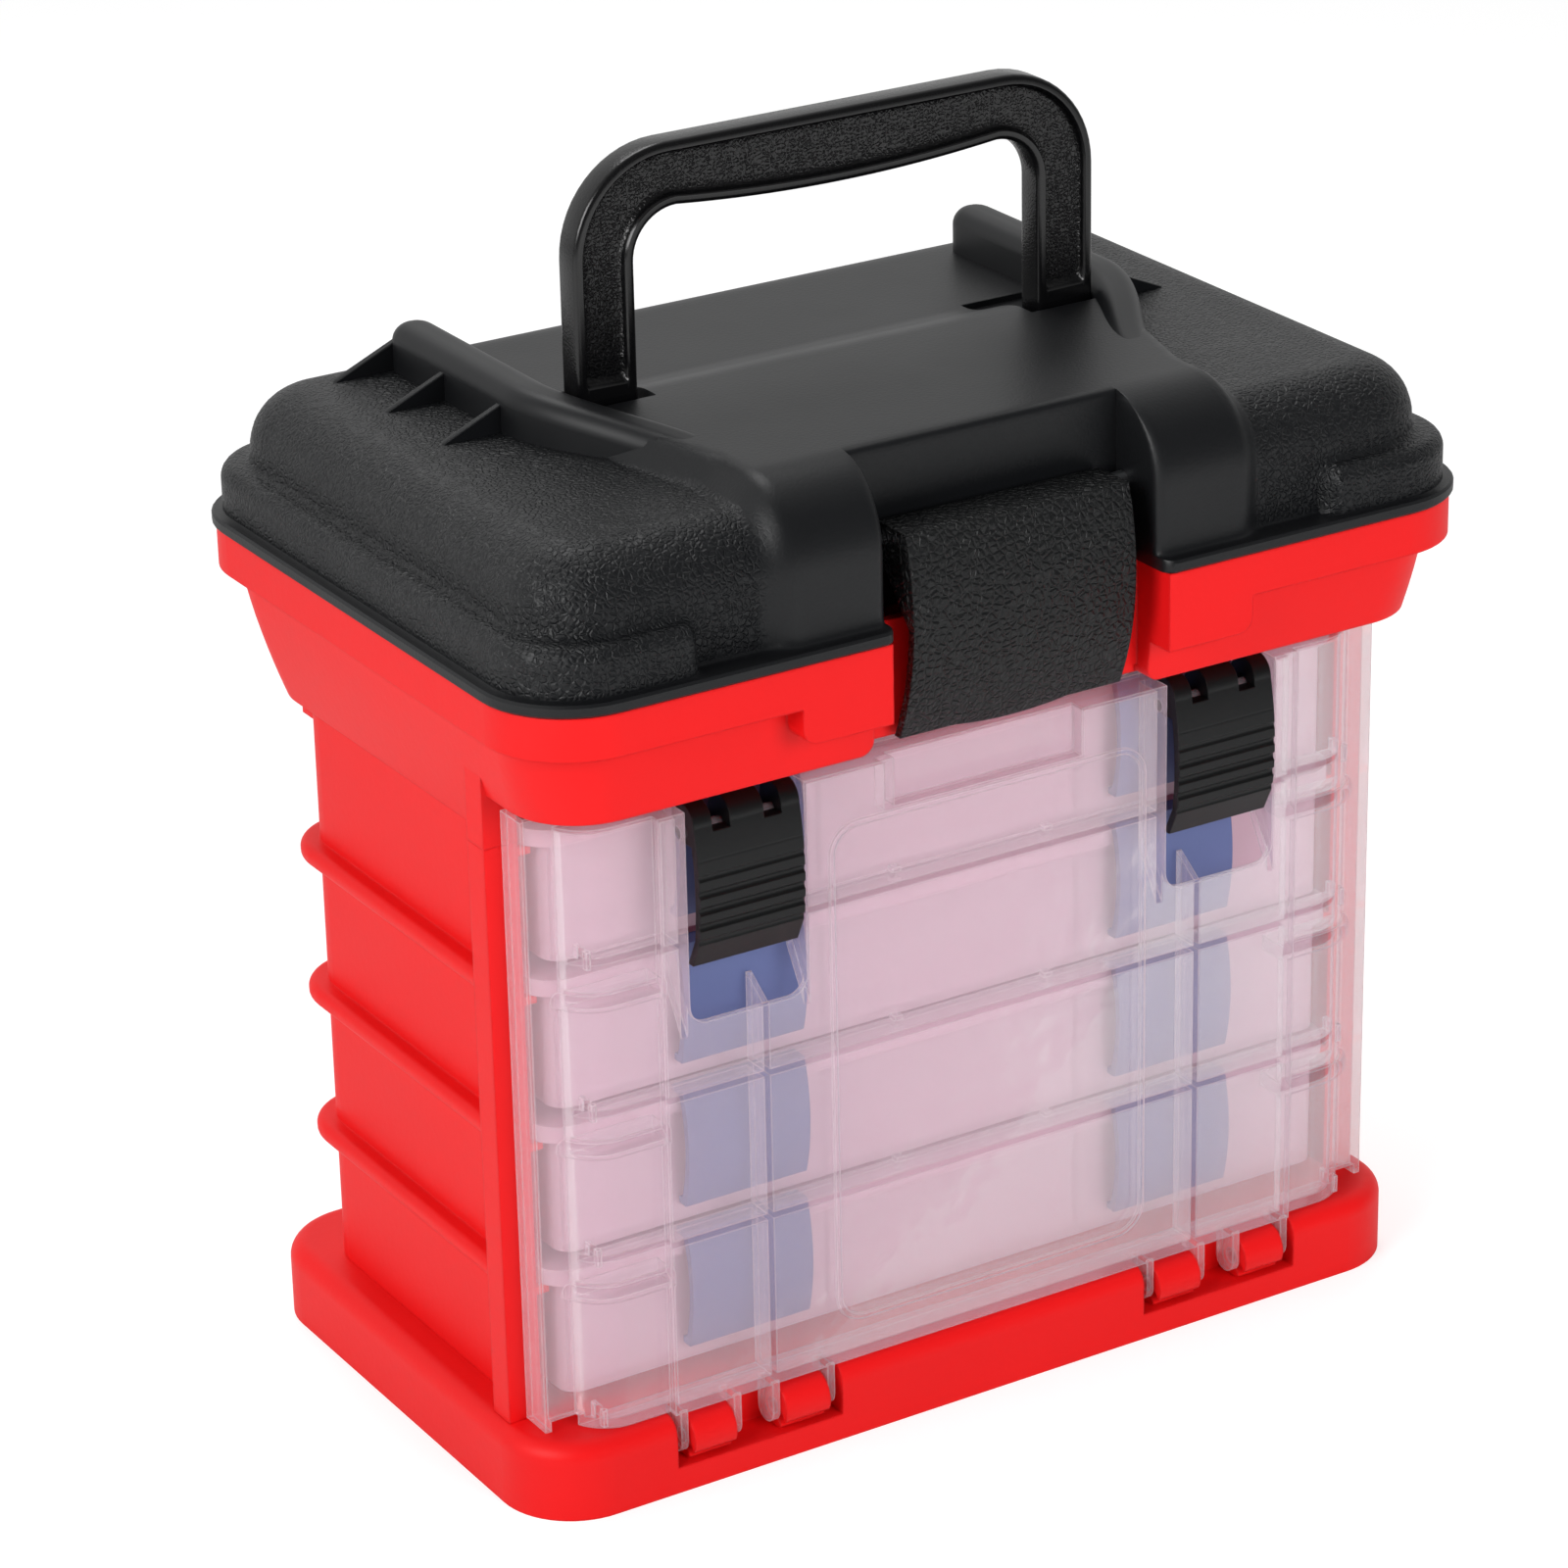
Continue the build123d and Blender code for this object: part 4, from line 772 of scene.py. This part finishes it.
# %% Floor and white surroundings
def white_to_camera(tree, shown, otherwise):
    """A shader that the camera sees, straight or through clear walls, and another for the rest."""
    path = add(tree, "ShaderNodeLightPath")
    seen = add(tree, "ShaderNodeMath", {"operation": "MAXIMUM"}, {
        0: path.outputs["Is Camera Ray"], 1: path.outputs["Is Transmission Ray"]})
    return mix(tree, seen.outputs[0], otherwise, shown)


FLOOR_HALF = 3.0


def studio_floor():
    """A white floor that keeps the box's shadow."""
    material, tree = new_material("white_floor")
    matte = add(tree, "ShaderNodeBsdfDiffuse", None, {"Color": linear("#E8E8E8")})
    pale = add(tree, "ShaderNodeBsdfDiffuse", None, {"Color": linear("#BFBFBF")})
    lift = add(tree, "ShaderNodeEmission", None, {"Color": (1, 1, 1, 1), "Strength": 0.62})
    seen = add(tree, "ShaderNodeAddShader", None, {0: pale.outputs[0], 1: lift.outputs[0]})
    finish_material(tree, white_to_camera(tree, seen.outputs[0], matte.outputs[0]))
    points = FLOOR_HALF * np.array([[(-1, -1, 0), (1, -1, 0)], [(-1, 1, 0), (1, 1, 0)]])
    mesh = bpy.data.meshes.new("floor")
    mesh.from_pydata(points.reshape(-1, 3), [], quads(2, 2))
    mesh.materials.append(material)
    floor = bpy.data.objects.new("floor", mesh)
    bpy.context.scene.collection.objects.link(floor)


def studio_world():
    """White to the camera, and for all else a grey that is brighter towards the back."""
    world = bpy.data.worlds.new("white_studio")
    bpy.context.scene.world = world
    world.use_nodes = True
    tree = world.node_tree
    tree.nodes.clear()
    toward = add(tree, "ShaderNodeSeparateXYZ", None, {
        "Vector": add(tree, "ShaderNodeTexCoord").outputs["Generated"]})
    glow = remap(tree, toward.outputs["Y"], (-0.5, 0.6), (0.14, 0.78))
    sky = add(tree, "ShaderNodeBackground", None, {"Color": (1, 1, 1, 1), "Strength": glow})
    white = add(tree, "ShaderNodeBackground", None, {"Color": (1, 1, 1, 1), "Strength": 1.0})
    backdrop = white_to_camera(tree, white.outputs[0], sky.outputs[0])
    add(tree, "ShaderNodeOutputWorld", None, {"Surface": backdrop})


studio_floor()
studio_world()
print("floor and", bpy.context.scene.world.name)


# %% Lamps
LAMP_TARGET = (0, 0, 0.14)


def softbox(name, place, size, power, mirrored=True):
    """A square lamp that faces the middle of the box: its place and size are in metres, its
    power in watts, and mirrored says whether it shows in reflections."""
    data = bpy.data.lights.new(name, "AREA")
    data.shape, data.size, data.energy = "SQUARE", size, power
    lamp = bpy.data.objects.new(name, data)
    to_box = np.array(place) - LAMP_TARGET
    z = to_box / np.linalg.norm(to_box)
    x = np.cross((0, 0, 1), z)
    x /= np.linalg.norm(x)
    matrix = np.eye(4)
    matrix[:3, 0], matrix[:3, 1], matrix[:3, 2], matrix[:3, 3] = x, np.cross(z, x), z, place
    lamp.matrix_world = Matrix(matrix.tolist())
    lamp.visible_glossy = mirrored
    bpy.context.scene.collection.objects.link(lamp)


# The front lamp only fills in: mirrored, its square would stand as a grey patch on the black
# dome, where the photograph has none.
softbox("left_softbox", (-1.5, -0.5, 0.9), 0.9, 19.0)
softbox("front_softbox", (0.3, -1.6, 0.7), 0.8, 17.5, mirrored=False)
softbox("top_softbox", (0.1, 0.7, 1.7), 0.8, 8.0)
print("lamps:", [lamp.name for lamp in bpy.data.lights])

# %% View settings
bpy.context.scene.view_settings.view_transform = "Standard"
bpy.context.scene.cycles.transparent_max_bounces = 40
